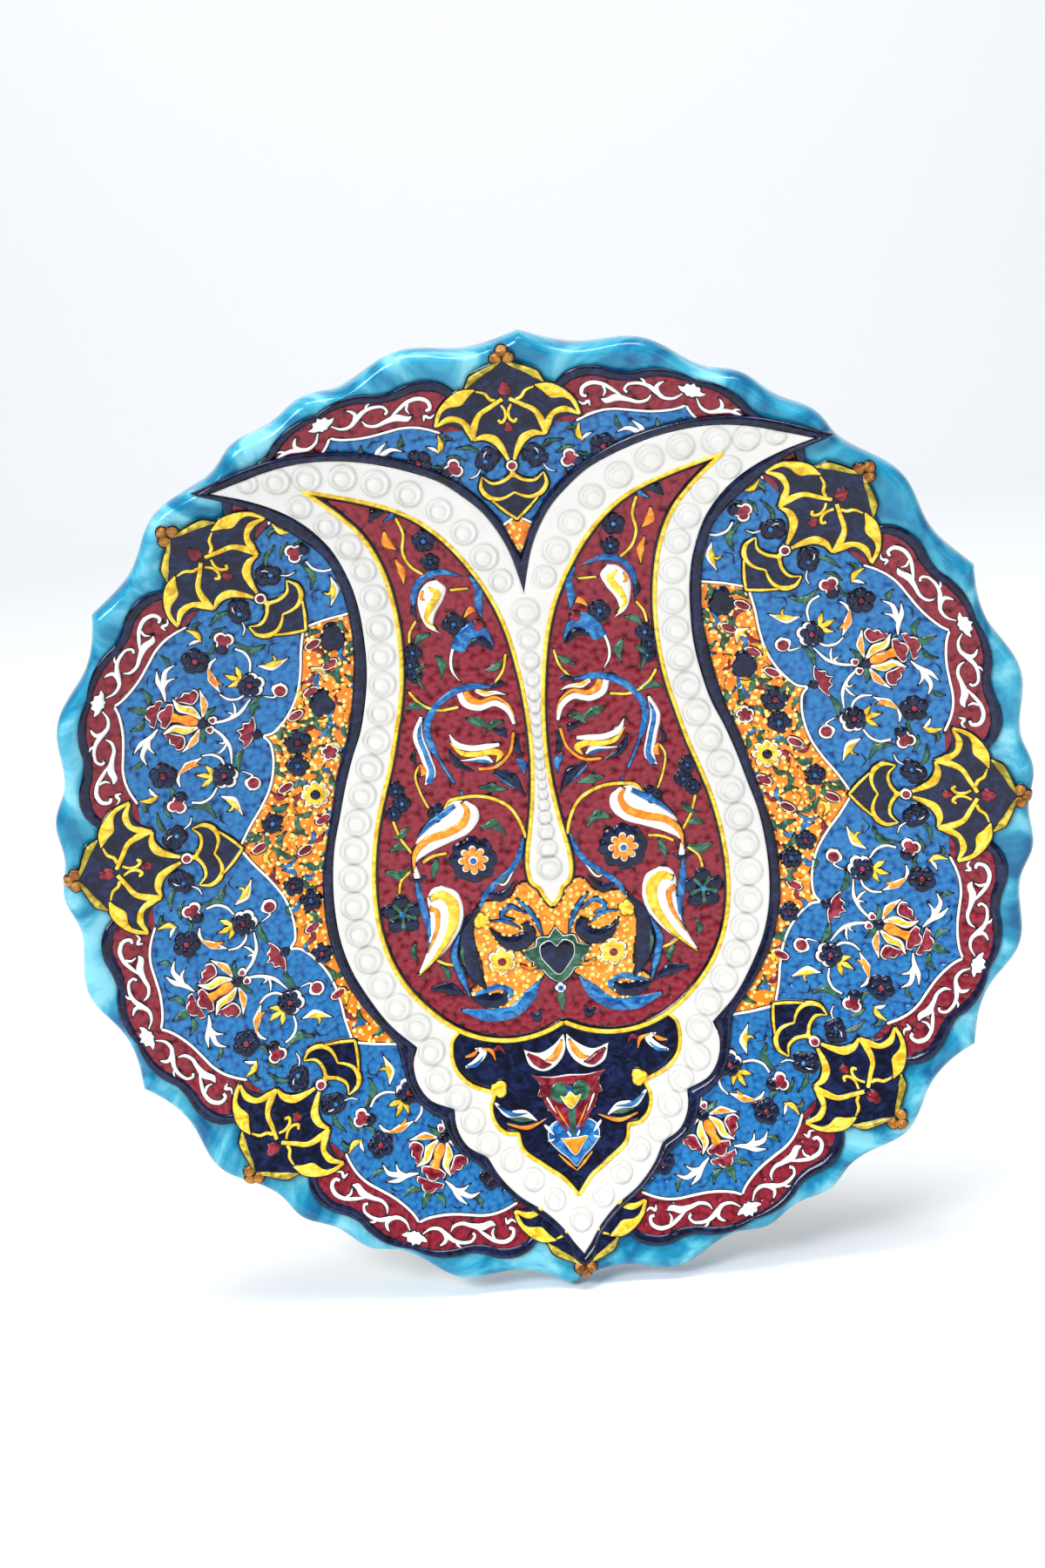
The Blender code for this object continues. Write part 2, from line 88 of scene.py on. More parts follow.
def scallop(angle):
    """Wave of the rim at an angle: half cosines between the heights in SCALLOPS, pointed at the first."""
    off_point = np.abs((np.degrees(angle) - FIRST_POINT + POINT_GAP / 2) % POINT_GAP - POINT_GAP / 2)
    wave = np.zeros_like(off_point)
    for (start, low), (end, high) in zip(SCALLOPS, SCALLOPS[1:]):
        share = np.clip((off_point - start) / (end - start), 0, 1)
        eased = np.sin(share * pi / 2) if start == 0 else (1 - np.cos(share * pi)) / 2
        wave = np.where(off_point >= start, low + (high - low) * eased, wave)
    return wave


def lip(share):
    """Radius and height along the lip's outer skin: one quadratic curve from the crest to the lip's end."""
    crest_height = FOOT_HEIGHT + WELL_WALL + DISH_DEPTH
    radii = (CREST, LIP_RADIUS - 0.5, LIP_RADIUS)
    heights = (crest_height, crest_height + 0.12 * LIP_DROP, crest_height - LIP_DROP)
    weights = ((1 - share) ** 2, 2 * share * (1 - share), share**2)
    return sum(w * r for w, r in zip(weights, radii)), sum(w * h for w, h in zip(weights, heights))


def face_height(x, y):
    """Height of the face off the wall: a power of the way out from the well, then the lip's curve."""
    radius = np.hypot(x, y)
    height = FOOT_HEIGHT + WELL_WALL + DISH_DEPTH * rise_share(np.minimum(radius, CREST)) ** DISH_POWER
    steps = np.linspace(0, 1, 60)
    lip_radii, lip_heights = lip(steps)
    on_lip = np.interp(radius, lip_radii, lip_heights)
    share = np.clip((radius - CREST) / (LIP_RADIUS - CREST), 0, 1)
    return np.where(radius > CREST, on_lip + LIP_WAVE * share * scallop(np.arctan2(x, y)), height)


def stand_up(plan):
    """Plan points (x, y, height off the wall) in drawing units become metres on the hanging plate."""
    placed = np.empty_like(plan)
    placed[..., 0] = plan[..., 0] * UNIT
    placed[..., 1] = -plan[..., 2] * UNIT
    placed[..., 2] = plan[..., 1] * UNIT + CENTRE_HEIGHT
    return placed


def loft_faces(rows, columns):
    """Quads between neighbouring rows, each of which is a closed ring of points."""
    start = np.arange(rows - 1)[:, None] * columns
    column = np.arange(columns)[None, :]
    beside = (column + 1) % columns
    corners = (start + column, start + beside, start + columns + beside, start + columns + column)
    return np.stack(corners, -1).reshape(-1, 4)


def make_mesh(name, points, quads, caps, materials, roles=None):
    """A smooth-shaded mesh from arrays of points and quads, and lists of cap rings."""
    mesh = bpy.data.meshes.new(name)
    sizes = np.concatenate([np.full(len(quads), 4), [len(cap) for cap in caps]]).astype(np.int32)
    loops = np.concatenate([quads.reshape(-1)] + list(caps)).astype(np.int32)
    mesh.vertices.add(len(points))
    mesh.vertices.foreach_set("co", points.astype(np.float32).reshape(-1))
    mesh.loops.add(len(loops))
    mesh.loops.foreach_set("vertex_index", loops)
    mesh.polygons.add(len(sizes))
    mesh.polygons.foreach_set("loop_start", np.concatenate([[0], np.cumsum(sizes)[:-1]]).astype(np.int32))
    if roles is not None:
        mesh.polygons.foreach_set("material_index", roles.astype(np.int32))
    mesh.update(calc_edges=True)
    mesh.validate()
    mesh.shade_smooth()
    piece = bpy.data.objects.new(name, mesh)
    for material in materials:
        piece.data.materials.append(material)
    bpy.context.scene.collection.objects.link(piece)
    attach(piece, "root")
    return piece


def new_glaze(name, colour, roughness=0.10, coat=0.12):
    """A fired glaze with nothing in it yet. Returns the material, its nodes, its links and its shader."""
    material = bpy.data.materials.new(name)
    material.use_nodes = True
    nodes, links = material.node_tree.nodes, material.node_tree.links
    shader = nodes["Principled BSDF"]
    shader.inputs["Base Color"].default_value = (*colour, 1)
    shader.inputs["Roughness"].default_value = roughness
    shader.inputs["Specular IOR Level"].default_value = 0.28
    shader.inputs["Coat Weight"].default_value = coat
    shader.inputs["Coat Roughness"].default_value = 0.04
    return material, nodes, links, shader


def object_noise(nodes, links, scale, detail=3.0, distortion=0.0, stretch=(1, 1, 1)):
    """Noise over the plate's own coordinates. Returns the output that carries its value."""
    place = nodes.new("ShaderNodeTexCoord")
    mapping = nodes.new("ShaderNodeMapping")
    mapping.inputs["Scale"].default_value = stretch
    noise = nodes.new("ShaderNodeTexNoise")
    noise.inputs["Scale"].default_value = scale
    noise.inputs["Detail"].default_value = detail
    noise.inputs["Distortion"].default_value = distortion
    links.new(place.outputs["Object"], mapping.inputs["Vector"])
    links.new(mapping.outputs["Vector"], noise.inputs["Vector"])
    return noise.outputs["Fac"]


def colours_by(nodes, links, value, stops):
    """A ramp of colours at the value's positions."""
    ramp = nodes.new("ShaderNodeValToRGB")
    band = ramp.color_ramp
    while len(band.elements) < len(stops):
        band.elements.new(0.5)
    for element, (position, colour) in zip(band.elements, stops):
        element.position = position
        element.color = (*colour, 1)
    links.new(value, ramp.inputs["Fac"])
    return ramp.outputs["Color"]


def bumped(nodes, links, shader, value, distance, strength):
    """Bump by the value, for the glaze and for its coat."""
    bump = nodes.new("ShaderNodeBump")
    bump.inputs["Distance"].default_value = distance
    bump.inputs["Strength"].default_value = strength
    links.new(value, bump.inputs["Height"])
    links.new(bump.outputs["Normal"], shader.inputs["Normal"])
    links.new(bump.outputs["Normal"], shader.inputs["Coat Normal"])


def clouded_glaze(name, colour, roughness, coat, noise, stops, bump, skin=None):
    """A glaze whose colour follows a noise. Its bump is the same noise's, or that of a finer skin."""
    material, nodes, links, shader = new_glaze(name, colour, roughness, coat)
    clouds = object_noise(nodes, links, *noise)
    links.new(colours_by(nodes, links, clouds, stops), shader.inputs["Base Color"])
    bumped(nodes, links, shader, object_noise(nodes, links, *skin) if skin else clouds, *bump)
    return material


def plate_section():
    """Radius and height once round half the section: face, lip, underside, back, foot ring, back."""
    face = np.concatenate([np.linspace(0.5, WELL, 12)[:-1], np.linspace(WELL, CREST, 40)])
    points = [np.stack([face, face_height(face * 0, face)], -1)]
    points.append(np.stack(lip(np.linspace(0, 1, 15)[1:]), -1))
    dense = np.linspace(0, 1, 200)
    skin = np.stack(lip(dense), -1)
    along = np.gradient(skin, axis=0)
    inward = np.stack([along[:, 1], -along[:, 0]], -1) / np.linalg.norm(along, axis=1)[:, None]
    wall = (LIP_WALL * dense + RIM_WALL * (1 - dense))[:, None]
    under = skin + inward * wall
    # the lip's end is a half round from the outer skin to the underside
    middle, half = (skin[-1] + under[-1]) / 2, (skin[-1] - under[-1]) / 2
    turn = np.linspace(0, pi, 9)[1:-1, None]
    below = np.array([0.0, -np.linalg.norm(half)])
    points.append(middle + half * np.cos(turn) + below * np.sin(turn))
    points.append(under[[199, 160, 120, 80, 45]])
    back = np.linspace(CREST - RIM_WALL, FOOT_OUTER + 1.2, 24)
    thickness = WELL_WALL + (RIM_WALL - WELL_WALL) * rise_share(back)
    points.append(np.stack([back, face_height(back * 0, back) - thickness], -1))
    foot_top = points[-1][-1, 1]
    foot = [(FOOT_OUTER + 0.3, foot_top - 0.6), (FOOT_OUTER, foot_top - 1.6), (FOOT_OUTER, 1.2),
            (FOOT_OUTER - 0.35, 0.35), (FOOT_OUTER - 1.2, 0.0), (FOOT_INNER + 1.2, 0.0),
            (FOOT_INNER + 0.35, 0.35), (FOOT_INNER, 1.2), (FOOT_INNER, FOOT_HEIGHT - 1.4),
            (FOOT_INNER - 0.4, FOOT_HEIGHT - 0.4), (FOOT_INNER - 1.4, FOOT_HEIGHT)]
    points.append(np.array(foot))
    inner = np.linspace(FOOT_INNER - 6, 0.5, 8)
    points.append(np.stack([inner, np.full(8, FOOT_HEIGHT)], -1))
    return np.concatenate(points)


def bore_wire_holes(body):
    """Two pins, each a circle carried out through the foot ring's wall, are cut from the body."""
    turn = np.linspace(0, 2 * pi, HOLE_SIDES, endpoint=False) + 0.07
    ring = np.arange(HOLE_SIDES)
    plan, quads, ends = [], [], []
    for number, angle in enumerate((-HOLE_ANGLE, HOLE_ANGLE)):
        away = np.array([np.sin(angle), np.cos(angle), 0])
        across = np.array([away[1], -away[0], 0])
        forwards = np.array([0, 0, 1])
        circle = HOLE_RADIUS * (np.cos(turn)[:, None] * across + np.sin(turn)[:, None] * forwards)
        circle[:, 2] += FOOT_HEIGHT / 2
        plan += [circle + away * (FOOT_INNER - 3), circle + away * (FOOT_OUTER + 3)]
        first = 2 * HOLE_SIDES * number
        quads.append(loft_faces(2, HOLE_SIDES)[:, ::-1] + first)
        ends += [ring + first, ring[::-1] + first + HOLE_SIDES]
    glazed = np.ones(2 * HOLE_SIDES + len(ends), int)
    pins = make_mesh("wire_pins", stand_up(np.concatenate(plan)), np.concatenate(quads), ends, [], glazed)
    cut = body.modifiers.new("wire_holes", "BOOLEAN")
    cut.operation, cut.solver, cut.object = "DIFFERENCE", "EXACT", pins
    bpy.context.view_layer.update()
    bored = bpy.data.meshes.new_from_object(body.evaluated_get(bpy.context.evaluated_depsgraph_get()))
    body.modifiers.clear()
    body.data = bored
    bpy.data.objects.remove(pins)
    body.data.set_sharp_from_angle(angle=radians(50))


def plate_body():
    """The section carried round the axis. Past the crest it moves out and forwards with the scallops."""
    section = plate_section()
    angle = np.linspace(0, 2 * pi, 720, endpoint=False)[None, :]
    radius, height = section[:, :1] + angle * 0, section[:, 1:] + angle * 0
    share = np.clip((radius - CREST) / (LIP_RADIUS - CREST), 0, 1)
    wave = share * scallop(angle + 0 * radius)
    radius, height = radius + RIM_WAVE * wave, height + LIP_WAVE * wave
    plan = np.stack([radius * np.sin(angle), radius * np.cos(angle), height], -1)
    rows, columns = radius.shape
    ring = np.arange(columns)
    caps = [ring[::-1], ring + (rows - 1) * columns]
    lowest = section[:, 1].min()
    glazed_face = int(np.argmax(section[:, 0])) + 6  # the turquoise goes this little way round the lip
    bare = np.where(section[:, 1] < lowest + 0.3)[0]
    band = np.repeat(np.arange(rows - 1), columns)
    roles = np.where(band < glazed_face, 0, 1)
    roles[(band >= bare.min()) & (band < bare.max())] = 2
    roles = np.concatenate([roles, [0, 1]])
    body = make_mesh("plate_body_glazed", stand_up(plan.reshape(-1, 3)), loft_faces(rows, columns), caps,
                     [turquoise_glaze, back_glaze, bare_clay], roles)
    bore_wire_holes(body)
    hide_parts("plate_body")


# pools dark and thins pale, over a faint orange-peel skin
turquoise_glaze = clouded_glaze(
    "turquoise_glaze", (0.06, 0.45, 0.62), 0.08, 0.2, (30, 6, 2.2),
    ((0.34, (0.003, 0.10, 0.24)), (0.44, (0.010, 0.21, 0.37)), (0.53, (0.045, 0.35, 0.51)),
     (0.64, (0.20, 0.56, 0.68))), (0.0004, 0.35), (160, 2))
# clear over white slip, faintly cream, with a few iron specks
back_glaze = clouded_glaze(
    "back_glaze", (0.80, 0.77, 0.69), 0.15, 0.5, (420, 1),
    ((0.0, (0.82, 0.80, 0.73)), (0.70, (0.78, 0.75, 0.66)), (0.76, (0.42, 0.30, 0.20))),
    (0.0006, 0.3), (60, 3))
# buff-red biscuit, matt and slightly gritty
bare_clay = clouded_glaze(
    "bare_clay", (0.55, 0.33, 0.22), 0.85, 0.0, (900, 4),
    ((0.3, (0.44, 0.25, 0.16)), (0.7, (0.62, 0.40, 0.28))), (0.0003, 0.6))
plate_body()

# ---------------------------------------------------------------------------------------------
# The border's grounds: eight blue medallions, the crimson panels outside them, and the gold ground
# between them and the tulip. Each is a thick glaze, trailed on in small overlapping dabs that stay
# as pebbles after the firing.
# ---------------------------------------------------------------------------------------------
SECTOR = pi / 4  # of the border: an eighth of the way round
GROUND = 0.001 / UNIT  # how far the grounds stand off the face
DABS = 0.48  # how far the dabs stand over the gaps between them
GOLD_DAB, GOLD_DABS = 3.0, DABS * 0.6  # the gap between the dabs of gold, and how far they stand up
DAB_LEVEL = 0.75  # the share of a dab's height that is level with its ground
DAB_REACH = 0.85  # a dab's radius, as a share of the gap from one dab to the next
PANEL_TOP = [
    (0, 147), (5, 147.7), (10, 147.2), (14.5, 145.6), (18.3, 143.4), (23, 142.7), (28.5, 142.2),
    (33.5, 140.6), (36.8, 138), (38.6, 134.6), (39.6, 131),
]
PANEL_OGEE = [
    (29.6, 124.6), (26.6, 127.6), (23.5, 129.9), (20, 131.5), (15, 132.7), (10, 133.9), (5, 135.8),
    (2, 137.4), (0, 139),
]
MEDALLION_FOOT = [
    (0, 93.5), (1.5, 91), (5, 89), (10, 87.5), (16, 86.9), (23, 87.8), (30, 89.5), (36.6, 90.6),
]
TULIP_OUTER = [
    (0, 86), (2.2, 91), (4.3, 96), (7.5, 101), (12, 106.5), (18, 111.8), (25, 116), (32, 119.3), (40, 122),
    (50, 124), (60, 124.7), (70, 124.2), (80, 122), (88, 119.4), (96.5, 116.4), (96.5, 116.4), (91, 114.2),
    (82, 110.3), (75, 105), (69.5, 100.5), (64.5, 96), (60.3, 91), (57.8, 85), (56.3, 79), (55.3, 70),
    (55.3, 60), (56.6, 50), (58.5, 40), (61, 31), (65, 20.5), (67.8, 10), (71, -2), (73.4, -12),
    (74.3, -24), (73.8, -35), (71.5, -45), (67.6, -54.5), (61, -65), (55.8, -72), (55.8, -72), (54.4, -79),
    (52.6, -87.5), (48.5, -94), (43, -98.3), (43, -98.3), (41.2, -104), (38, -109.3), (32.6, -113.3),
    (32.6, -113.3), (27.5, -119), (21, -125.4), (14.2, -130.6), (8.5, -135.8), (4.6, -141), (3.2, -145.5),
    (0, -147.6),
]
TULIP_INNER = [
    (0, 73), (1.5, 80), (3.4, 87), (6.5, 94), (11, 101), (16, 106), (22, 111), (30, 115), (38, 118),
    (48, 120.6), (60, 121.8), (70, 121), (80, 118.6), (90, 115.8), (90, 115.8), (79.5, 112), (72.5, 108.5),
    (65, 103), (60, 97.3), (57, 92.5), (54.8, 87), (53, 81), (51.8, 74), (51.3, 64), (51.8, 52), (53.8, 41),
    (56, 33), (59.6, 24.5), (62.8, 15.5), (65.6, 6), (68.5, -4), (70.1, -14), (70.7, -25), (69.9, -36),
    (67.2, -46.5), (63, -55.5), (56.5, -66), (48.8, -74), (48.8, -74), (50.4, -79), (49.8, -85),
    (46.4, -91), (38.5, -95.3), (38.5, -95.3), (38.2, -101), (35.4, -107), (28.9, -111.5), (28.9, -111.5),
    (26, -117), (20, -124), (11, -130.5), (6, -135.5), (2.6, -140.2), (0, -143.3),
]


def curve(points, spacing=0.6):
    """A smooth line of cubics through the points. The tangent at each runs along the chord between its
    neighbours. A point that is written twice is a corner."""
    points = np.array(points, float)
    corners = np.flatnonzero((np.diff(points, axis=0) == 0).all(axis=1)) + 1
    parts = []
    for stretch in np.split(points, corners):
        step = np.linalg.norm(np.diff(stretch, axis=0), axis=1)
        along = np.concatenate([[0], np.cumsum(step)])
        slope = np.gradient(stretch, along, axis=0)
        at = np.linspace(0, along[-1], max(3, int(along[-1] / spacing) + 2))
        index = np.clip(np.searchsorted(along, at, side="right") - 1, 0, len(step) - 1)
        gap = step[index][:, None]
        t = (at - along[index])[:, None] / gap
        parts.append((2 * t**3 - 3 * t**2 + 1) * stretch[index] + (t**3 - 2 * t**2 + t) * gap * slope[index]
                     + (3 * t**2 - 2 * t**3) * stretch[index + 1] + (t**3 - t**2) * gap * slope[index + 1])
    return np.concatenate(parts)


def flipped(points):
    """The points over on the other side of the axis, in the other order."""
    return [(-x, y) for x, y in reversed(points)]


def inside(outline, x, y):
    """Whether each point lies within the closed outline, by how many of its sides pass to the right."""
    within = np.zeros(np.shape(x), bool)
    low, high = np.min(outline, axis=0), np.max(outline, axis=0)
    near = (x >= low[0]) & (x <= high[0]) & (y >= low[1]) & (y <= high[1])
    x, y, found = x[near], y[near], within[near]
    for (ax, ay), (bx, by) in zip(outline, np.roll(outline, -1, axis=0)):
        if ay != by:
            found ^= ((ay > y) != (by > y)) & (x < (bx - ax) * (y - ay) / (by - ay) + ax)
    within[near] = found
    return within


def dabs(x, y, size):
    """Pebbled height from 0 to 1: round cushions on a jittered grid, of which the nearest counts. Across
    one it is the root of 1 - d ** 2, for d from 0 at its middle to 1 at its reach."""
    nearest = np.full(np.shape(x), 9.0)
    column, row = np.floor(x / size), np.floor(y / size)
    for across in (-1, 0, 1):
        for up in (-1, 0, 1):
            cell_x, cell_y = column + across, row + up
            jitter_x = np.sin(cell_x * 127.1 + cell_y * 311.7) * 43758.5453 % 1
            jitter_y = np.sin(cell_x * 269.5 + cell_y * 183.3) * 43758.5453 % 1
            far = np.hypot(cell_x + jitter_x - x / size, cell_y + jitter_y - y / size)
            nearest = np.minimum(nearest, far)
    return np.sqrt(np.clip(1 - (nearest / DAB_REACH) ** 2, 0, 1))


def brushed_glaze(name, stops, streak=210, roughness=0.10, painted_relief_shade=0.0):
    """A coloured glaze in brush strokes. painted_relief_shade is how much it darkens in the gaps between
    the dabs: painted shade, with the dabs' tops left lighter as painted highlight.
    """
    material, nodes, links, shader = new_glaze(name, stops[1], roughness)
    streaks = object_noise(nodes, links, streak, 4, 1.6, (1, 1, 1.3))
    value = streaks
    if painted_relief_shade:
        relief = nodes.new("ShaderNodeAttribute")
        relief.attribute_name = "dab_height"
        mix = nodes.new("ShaderNodeMix")
        mix.inputs["Factor"].default_value = painted_relief_shade
        links.new(streaks, mix.inputs["A"])
        links.new(relief.outputs["Fac"], mix.inputs["B"])
        value = mix.outputs["Result"]
    positions = (0.25, 0.55, 0.82) if painted_relief_shade else (0.36, 0.50, 0.64)
    links.new(colours_by(nodes, links, value, tuple(zip(positions, stops))), shader.inputs["Base Color"])
    bumped(nodes, links, shader, streaks, 0.0003, 0.30)
    return material


BLUE = ((0.002, 0.026, 0.12), (0.007, 0.092, 0.30), (0.026, 0.20, 0.46))
CRIMSON = ((0.045, 0.001, 0.004), (0.155, 0.005, 0.014), (0.27, 0.020, 0.038))
GOLD = ((0.58, 0.10, 0.004), (0.82, 0.21, 0.008), (0.90, 0.31, 0.020))


def dab_heights(piece, heights):
    """Keeps a value from 0 to 1 for each of the piece's points, from which its glaze paints shade: darker
    where it is low.
    """
    relief = piece.data.attributes.new("dab_height", "FLOAT", "POINT")
    relief.data.foreach_set("value", heights.astype(np.float32))


def dabbed_ground(name, material, covers, lift, size, deep, replaced, spacing=0.5, reach=148):
    """Square grid over the plate, kept where covers(x, y) holds, at the dabs' height over the face."""
    line = np.arange(-reach, reach + spacing, spacing)
    x, y = np.meshgrid(line, line)
    kept = covers(x, y)
    all_kept = kept[:-1, :-1] & kept[1:, :-1] & kept[:-1, 1:] & kept[1:, 1:]
    numbers = np.arange(x.size).reshape(x.shape)
    quads = np.stack([numbers[:-1, :-1], numbers[:-1, 1:], numbers[1:, 1:], numbers[1:, :-1]], -1)[all_kept]
    used, quads = np.unique(quads, return_inverse=True)
    x, y = x.reshape(-1)[used], y.reshape(-1)[used]
    height = dabs(x, y, size)
    plan = np.stack([x, y, face_height(x, y) + lift + deep * (height - DAB_LEVEL)], -1)
    ground = make_mesh(name, stand_up(plan), quads.reshape(-1, 4), [], [material])
    dab_heights(ground, height)
    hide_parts(*replaced)


def folded(x, y):
    """The same place in the border's first half sector: distance from its axis, and height along it."""
    radius = np.hypot(x, y)
    angle = np.arctan2(x, y) % SECTOR - SECTOR / 2
    return np.abs(radius * np.sin(angle)), radius * np.cos(angle)


def on_edge(radius):
    """A point of the sector's edge."""
    return radius * np.sin(SECTOR / 2), radius * np.cos(SECTOR / 2)


TULIP_OUTLINE = np.concatenate([curve(TULIP_INNER, 4), curve(flipped(TULIP_INNER), 4)])
MEDALLION = np.concatenate([curve(PANEL_OGEE, 2)[::-1], [on_edge(128), on_edge(97.7)],
                            curve(MEDALLION_FOOT, 2)[::-1]])
PANEL = np.concatenate([curve(PANEL_TOP, 2), [on_edge(136), on_edge(126)], curve(PANEL_OGEE, 2)])


def medallions_cover(x, y):
    return inside(MEDALLION, *folded(x, y)) & ~inside(TULIP_OUTLINE, x, y)


def panels_cover(x, y):
    return inside(PANEL, *folded(x, y)) & ~inside(TULIP_OUTLINE, x, y)


def gold_covers(x, y):
    side_x, side_y = folded(x, y)
    near = (side_y < 98) & ~inside(MEDALLION, side_x, side_y)
    return near & ~inside(TULIP_OUTLINE, x, y)


EIGHT = range(1, 9)
# the grounds' colours are darker in the gaps between the dabs and lighter on their tops: painted shade and
# painted highlight
dabbed_ground("medallion_ground", brushed_glaze("medallion_blue", BLUE, 260, 0.09, 0.5),
              medallions_cover, GROUND, 1.9, DABS,
              [f"medallion_{i}" for i in EIGHT] + ["medallion_1_corner", "medallion_8_corner"])
dabbed_ground("panel_ground", brushed_glaze("panel_crimson", CRIMSON, 260, 0.09, 0.5),
              panels_cover, GROUND, 2.0, DABS,
              [f"border_panel_{i}" for i in EIGHT] + ["border_panel_1_corner", "border_panel_8_corner"])
dabbed_ground("gold_ground", brushed_glaze("gold_orange", GOLD, 200, 0.10, 0.30),
              gold_covers, GROUND, GOLD_DAB, GOLD_DABS,
              [f"gold_ground_{at}" for at in ("left", "right", "top")])

# ---------------------------------------------------------------------------------------------
# The border's raised lines: the thick navy line that closes each crimson panel on the outside, and
# the white lines round the medallions. Each is trailed from a nozzle and stands up in a round bead,
# with a thin black line along both its sides.
# ---------------------------------------------------------------------------------------------
INK, INK_HEIGHT = 0.45, 0.14  # of the black line: how far it shows beside a colour, and its height
EDGE_SINK, PAD_SINK = 0.55, 0.35  # how far the edges go below what they lie on
COAT = 0.02  # how far a colour lies above its black line
ON_GROUND = GROUND + 0.12  # where a line's sides meet the pebbles
PIGMENTS = {
    "black": ((0.002, 0.002, 0.004), (0.004, 0.004, 0.007), (0.010, 0.010, 0.018)),
    "navy": ((0.001, 0.002, 0.009), (0.003, 0.006, 0.032), (0.009, 0.017, 0.068)),
    "white": ((0.74, 0.77, 0.78), (0.86, 0.86, 0.83), (0.90, 0.90, 0.88)),
    "blue": ((0.004, 0.055, 0.22), (0.012, 0.135, 0.40), (0.05, 0.27, 0.56)),
    "crimson": ((0.10, 0.002, 0.008), (0.21, 0.010, 0.024), (0.33, 0.035, 0.058)),
    "orange": ((0.74, 0.17, 0.008), (0.90, 0.28, 0.012), (0.93, 0.42, 0.05)),
    "yellow": ((0.60, 0.34, 0.012), (0.86, 0.58, 0.030), (0.92, 0.72, 0.12)),
    "green": ((0.010, 0.045, 0.026), (0.026, 0.110, 0.066), (0.06, 0.19, 0.12)),
    "brown": ((0.14, 0.045, 0.004), (0.30, 0.11, 0.012), (0.45, 0.20, 0.03)),
    "olive": ((0.22, 0.17, 0.012), (0.42, 0.34, 0.03), (0.72, 0.56, 0.06)),
    "butter": ((0.90, 0.60, 0.08), (0.94, 0.72, 0.20), (0.96, 0.80, 0.34)),
}
SLOTS = {colour: f"{colour}_glaze" for colour in ("navy", "white", "blue", "crimson", "yellow")}
SLOTS.update(black="navy_glaze", green="blue_glaze", olive="yellow_glaze", butter="yellow_glaze",
             orange="gold_glaze", brown="gold_glaze")  # the nearest there is
GLAZES = {colour: brushed_glaze(f"{colour}_line_glaze", stops) for colour, stops in PIGMENTS.items()}


def add(marks, colour, shape):
    """Adds points and quads to those of a colour."""
    marks.setdefault(colour, []).append(shape)


def lengths(line):
    """The way along the line to each of its points."""
    return np.concatenate([[0], np.cumsum(np.linalg.norm(np.diff(line, axis=0), axis=1))])


def winding(ring):
    """Twice the ring's area, above 0 where it runs anticlockwise."""
    ahead = np.roll(ring, -1, axis=0)
    return np.sum(ring[:, 0] * ahead[:, 1] - ahead[:, 0] * ring[:, 1])


def ruled(side_a, side_b, plan, rise):
    """The points of a sheet between two sides, and its quads, turned to the front."""
    number = np.arange(rise.size).reshape(rise.shape)
    quads = np.stack([number[:-1, :-1], number[1:, :-1], number[1:, 1:], number[:-1, 1:]], -1)
    quads = quads.reshape(-1, 4)
    if winding(np.concatenate([side_a, side_b[::-1]])) < 0:
        quads = quads[:, ::-1]
    return np.concatenate([plan, rise[..., None]], -1).reshape(-1, 3), quads


def sheet_of(side_a, side_b, height, lift, columns=5, flat=2.0):
    """Ruled surface between two lines with as many points each. Across it the height is that of a cushion,
    the root of 1 - u ** flat for u from -1 to 1, and its two edges are sunk a little."""
    u = np.sin(np.linspace(-pi / 2, pi / 2, columns))[None, :]
    wide = np.linalg.norm(side_b - side_a, axis=1)[:, None]
    across = side_a[:, None] * (1 - u[..., None]) / 2 + side_b[:, None] * (1 + u[..., None]) / 2
    rise = lift + height * np.clip(wide / 1.2, 0.05, 1) * np.sqrt(np.clip(1 - np.abs(u) ** flat, 0, 1))
    rise = np.where(np.abs(u) > 0.999, lift - EDGE_SINK, rise)
    return ruled(side_a, side_b, across, rise)


def stroke(marks, colour, points, width, height=0.55, lift=ON_GROUND, ink=INK, columns=5):
    """A bead of glaze along a line. width is one number, with round ends, or one for each point."""
    line = curve(points, 0.55)
    along = lengths(line)
    if np.ndim(width):
        at = lengths(np.array(points, float))
        half = np.interp(along / along[-1], at / at[-1], np.array(width, float) / 2)
        half = np.maximum(half, 0.06)
    else:
        to_end = np.clip(np.minimum(along, along[-1] - along) / (width / 2), 0, 1)
        half = np.maximum(width / 2 * np.sqrt(1 - (1 - to_end) ** 2), 0.05)
    heading = np.gradient(line, axis=0)
    heading /= np.maximum(np.linalg.norm(heading, axis=1), 1e-6)[:, None]
    left = np.stack([-heading[:, 1], heading[:, 0]], -1)
    if ink:
        reach = left * (half + ink)[:, None]
        longer = line.copy()
        longer[0] -= heading[0] * ink
        longer[-1] += heading[-1] * ink
        add(marks, "black", sheet_of(longer - reach, longer + reach, INK_HEIGHT, lift, 4, 8))
    reach = left * half[:, None]
    add(marks, colour, sheet_of(line - reach, line + reach, height, lift + COAT, columns))


def both_sides(half):
    """The shapes and their mirror images across the axis."""
    sides = {}
    for colour, shapes in half.items():
        sides[colour] = shapes + [(points * (-1, 1, 1), quads[:, ::-1]) for points, quads in shapes]
    return sides


def turned(marks, angle):
    """The shapes turned clockwise about the plate's centre."""
    cos, sin = np.cos(angle), np.sin(angle)
    turn = np.array([[cos, -sin, 0], [sin, cos, 0], [0, 0, 1]])
    return {colour: [(points @ turn, quads) for points, quads in shapes]
            for colour, shapes in marks.items()}


def together(*groups):
    """All the groups' shapes, colour by colour."""
    joined = {}
    for marks in groups:
        for colour, shapes in marks.items():
            joined.setdefault(colour, []).extend(shapes)
    return joined


def round_the_border(marks, angles):
    """The shapes once for each angle."""
    return together(*(turned(marks, angle) for angle in angles))


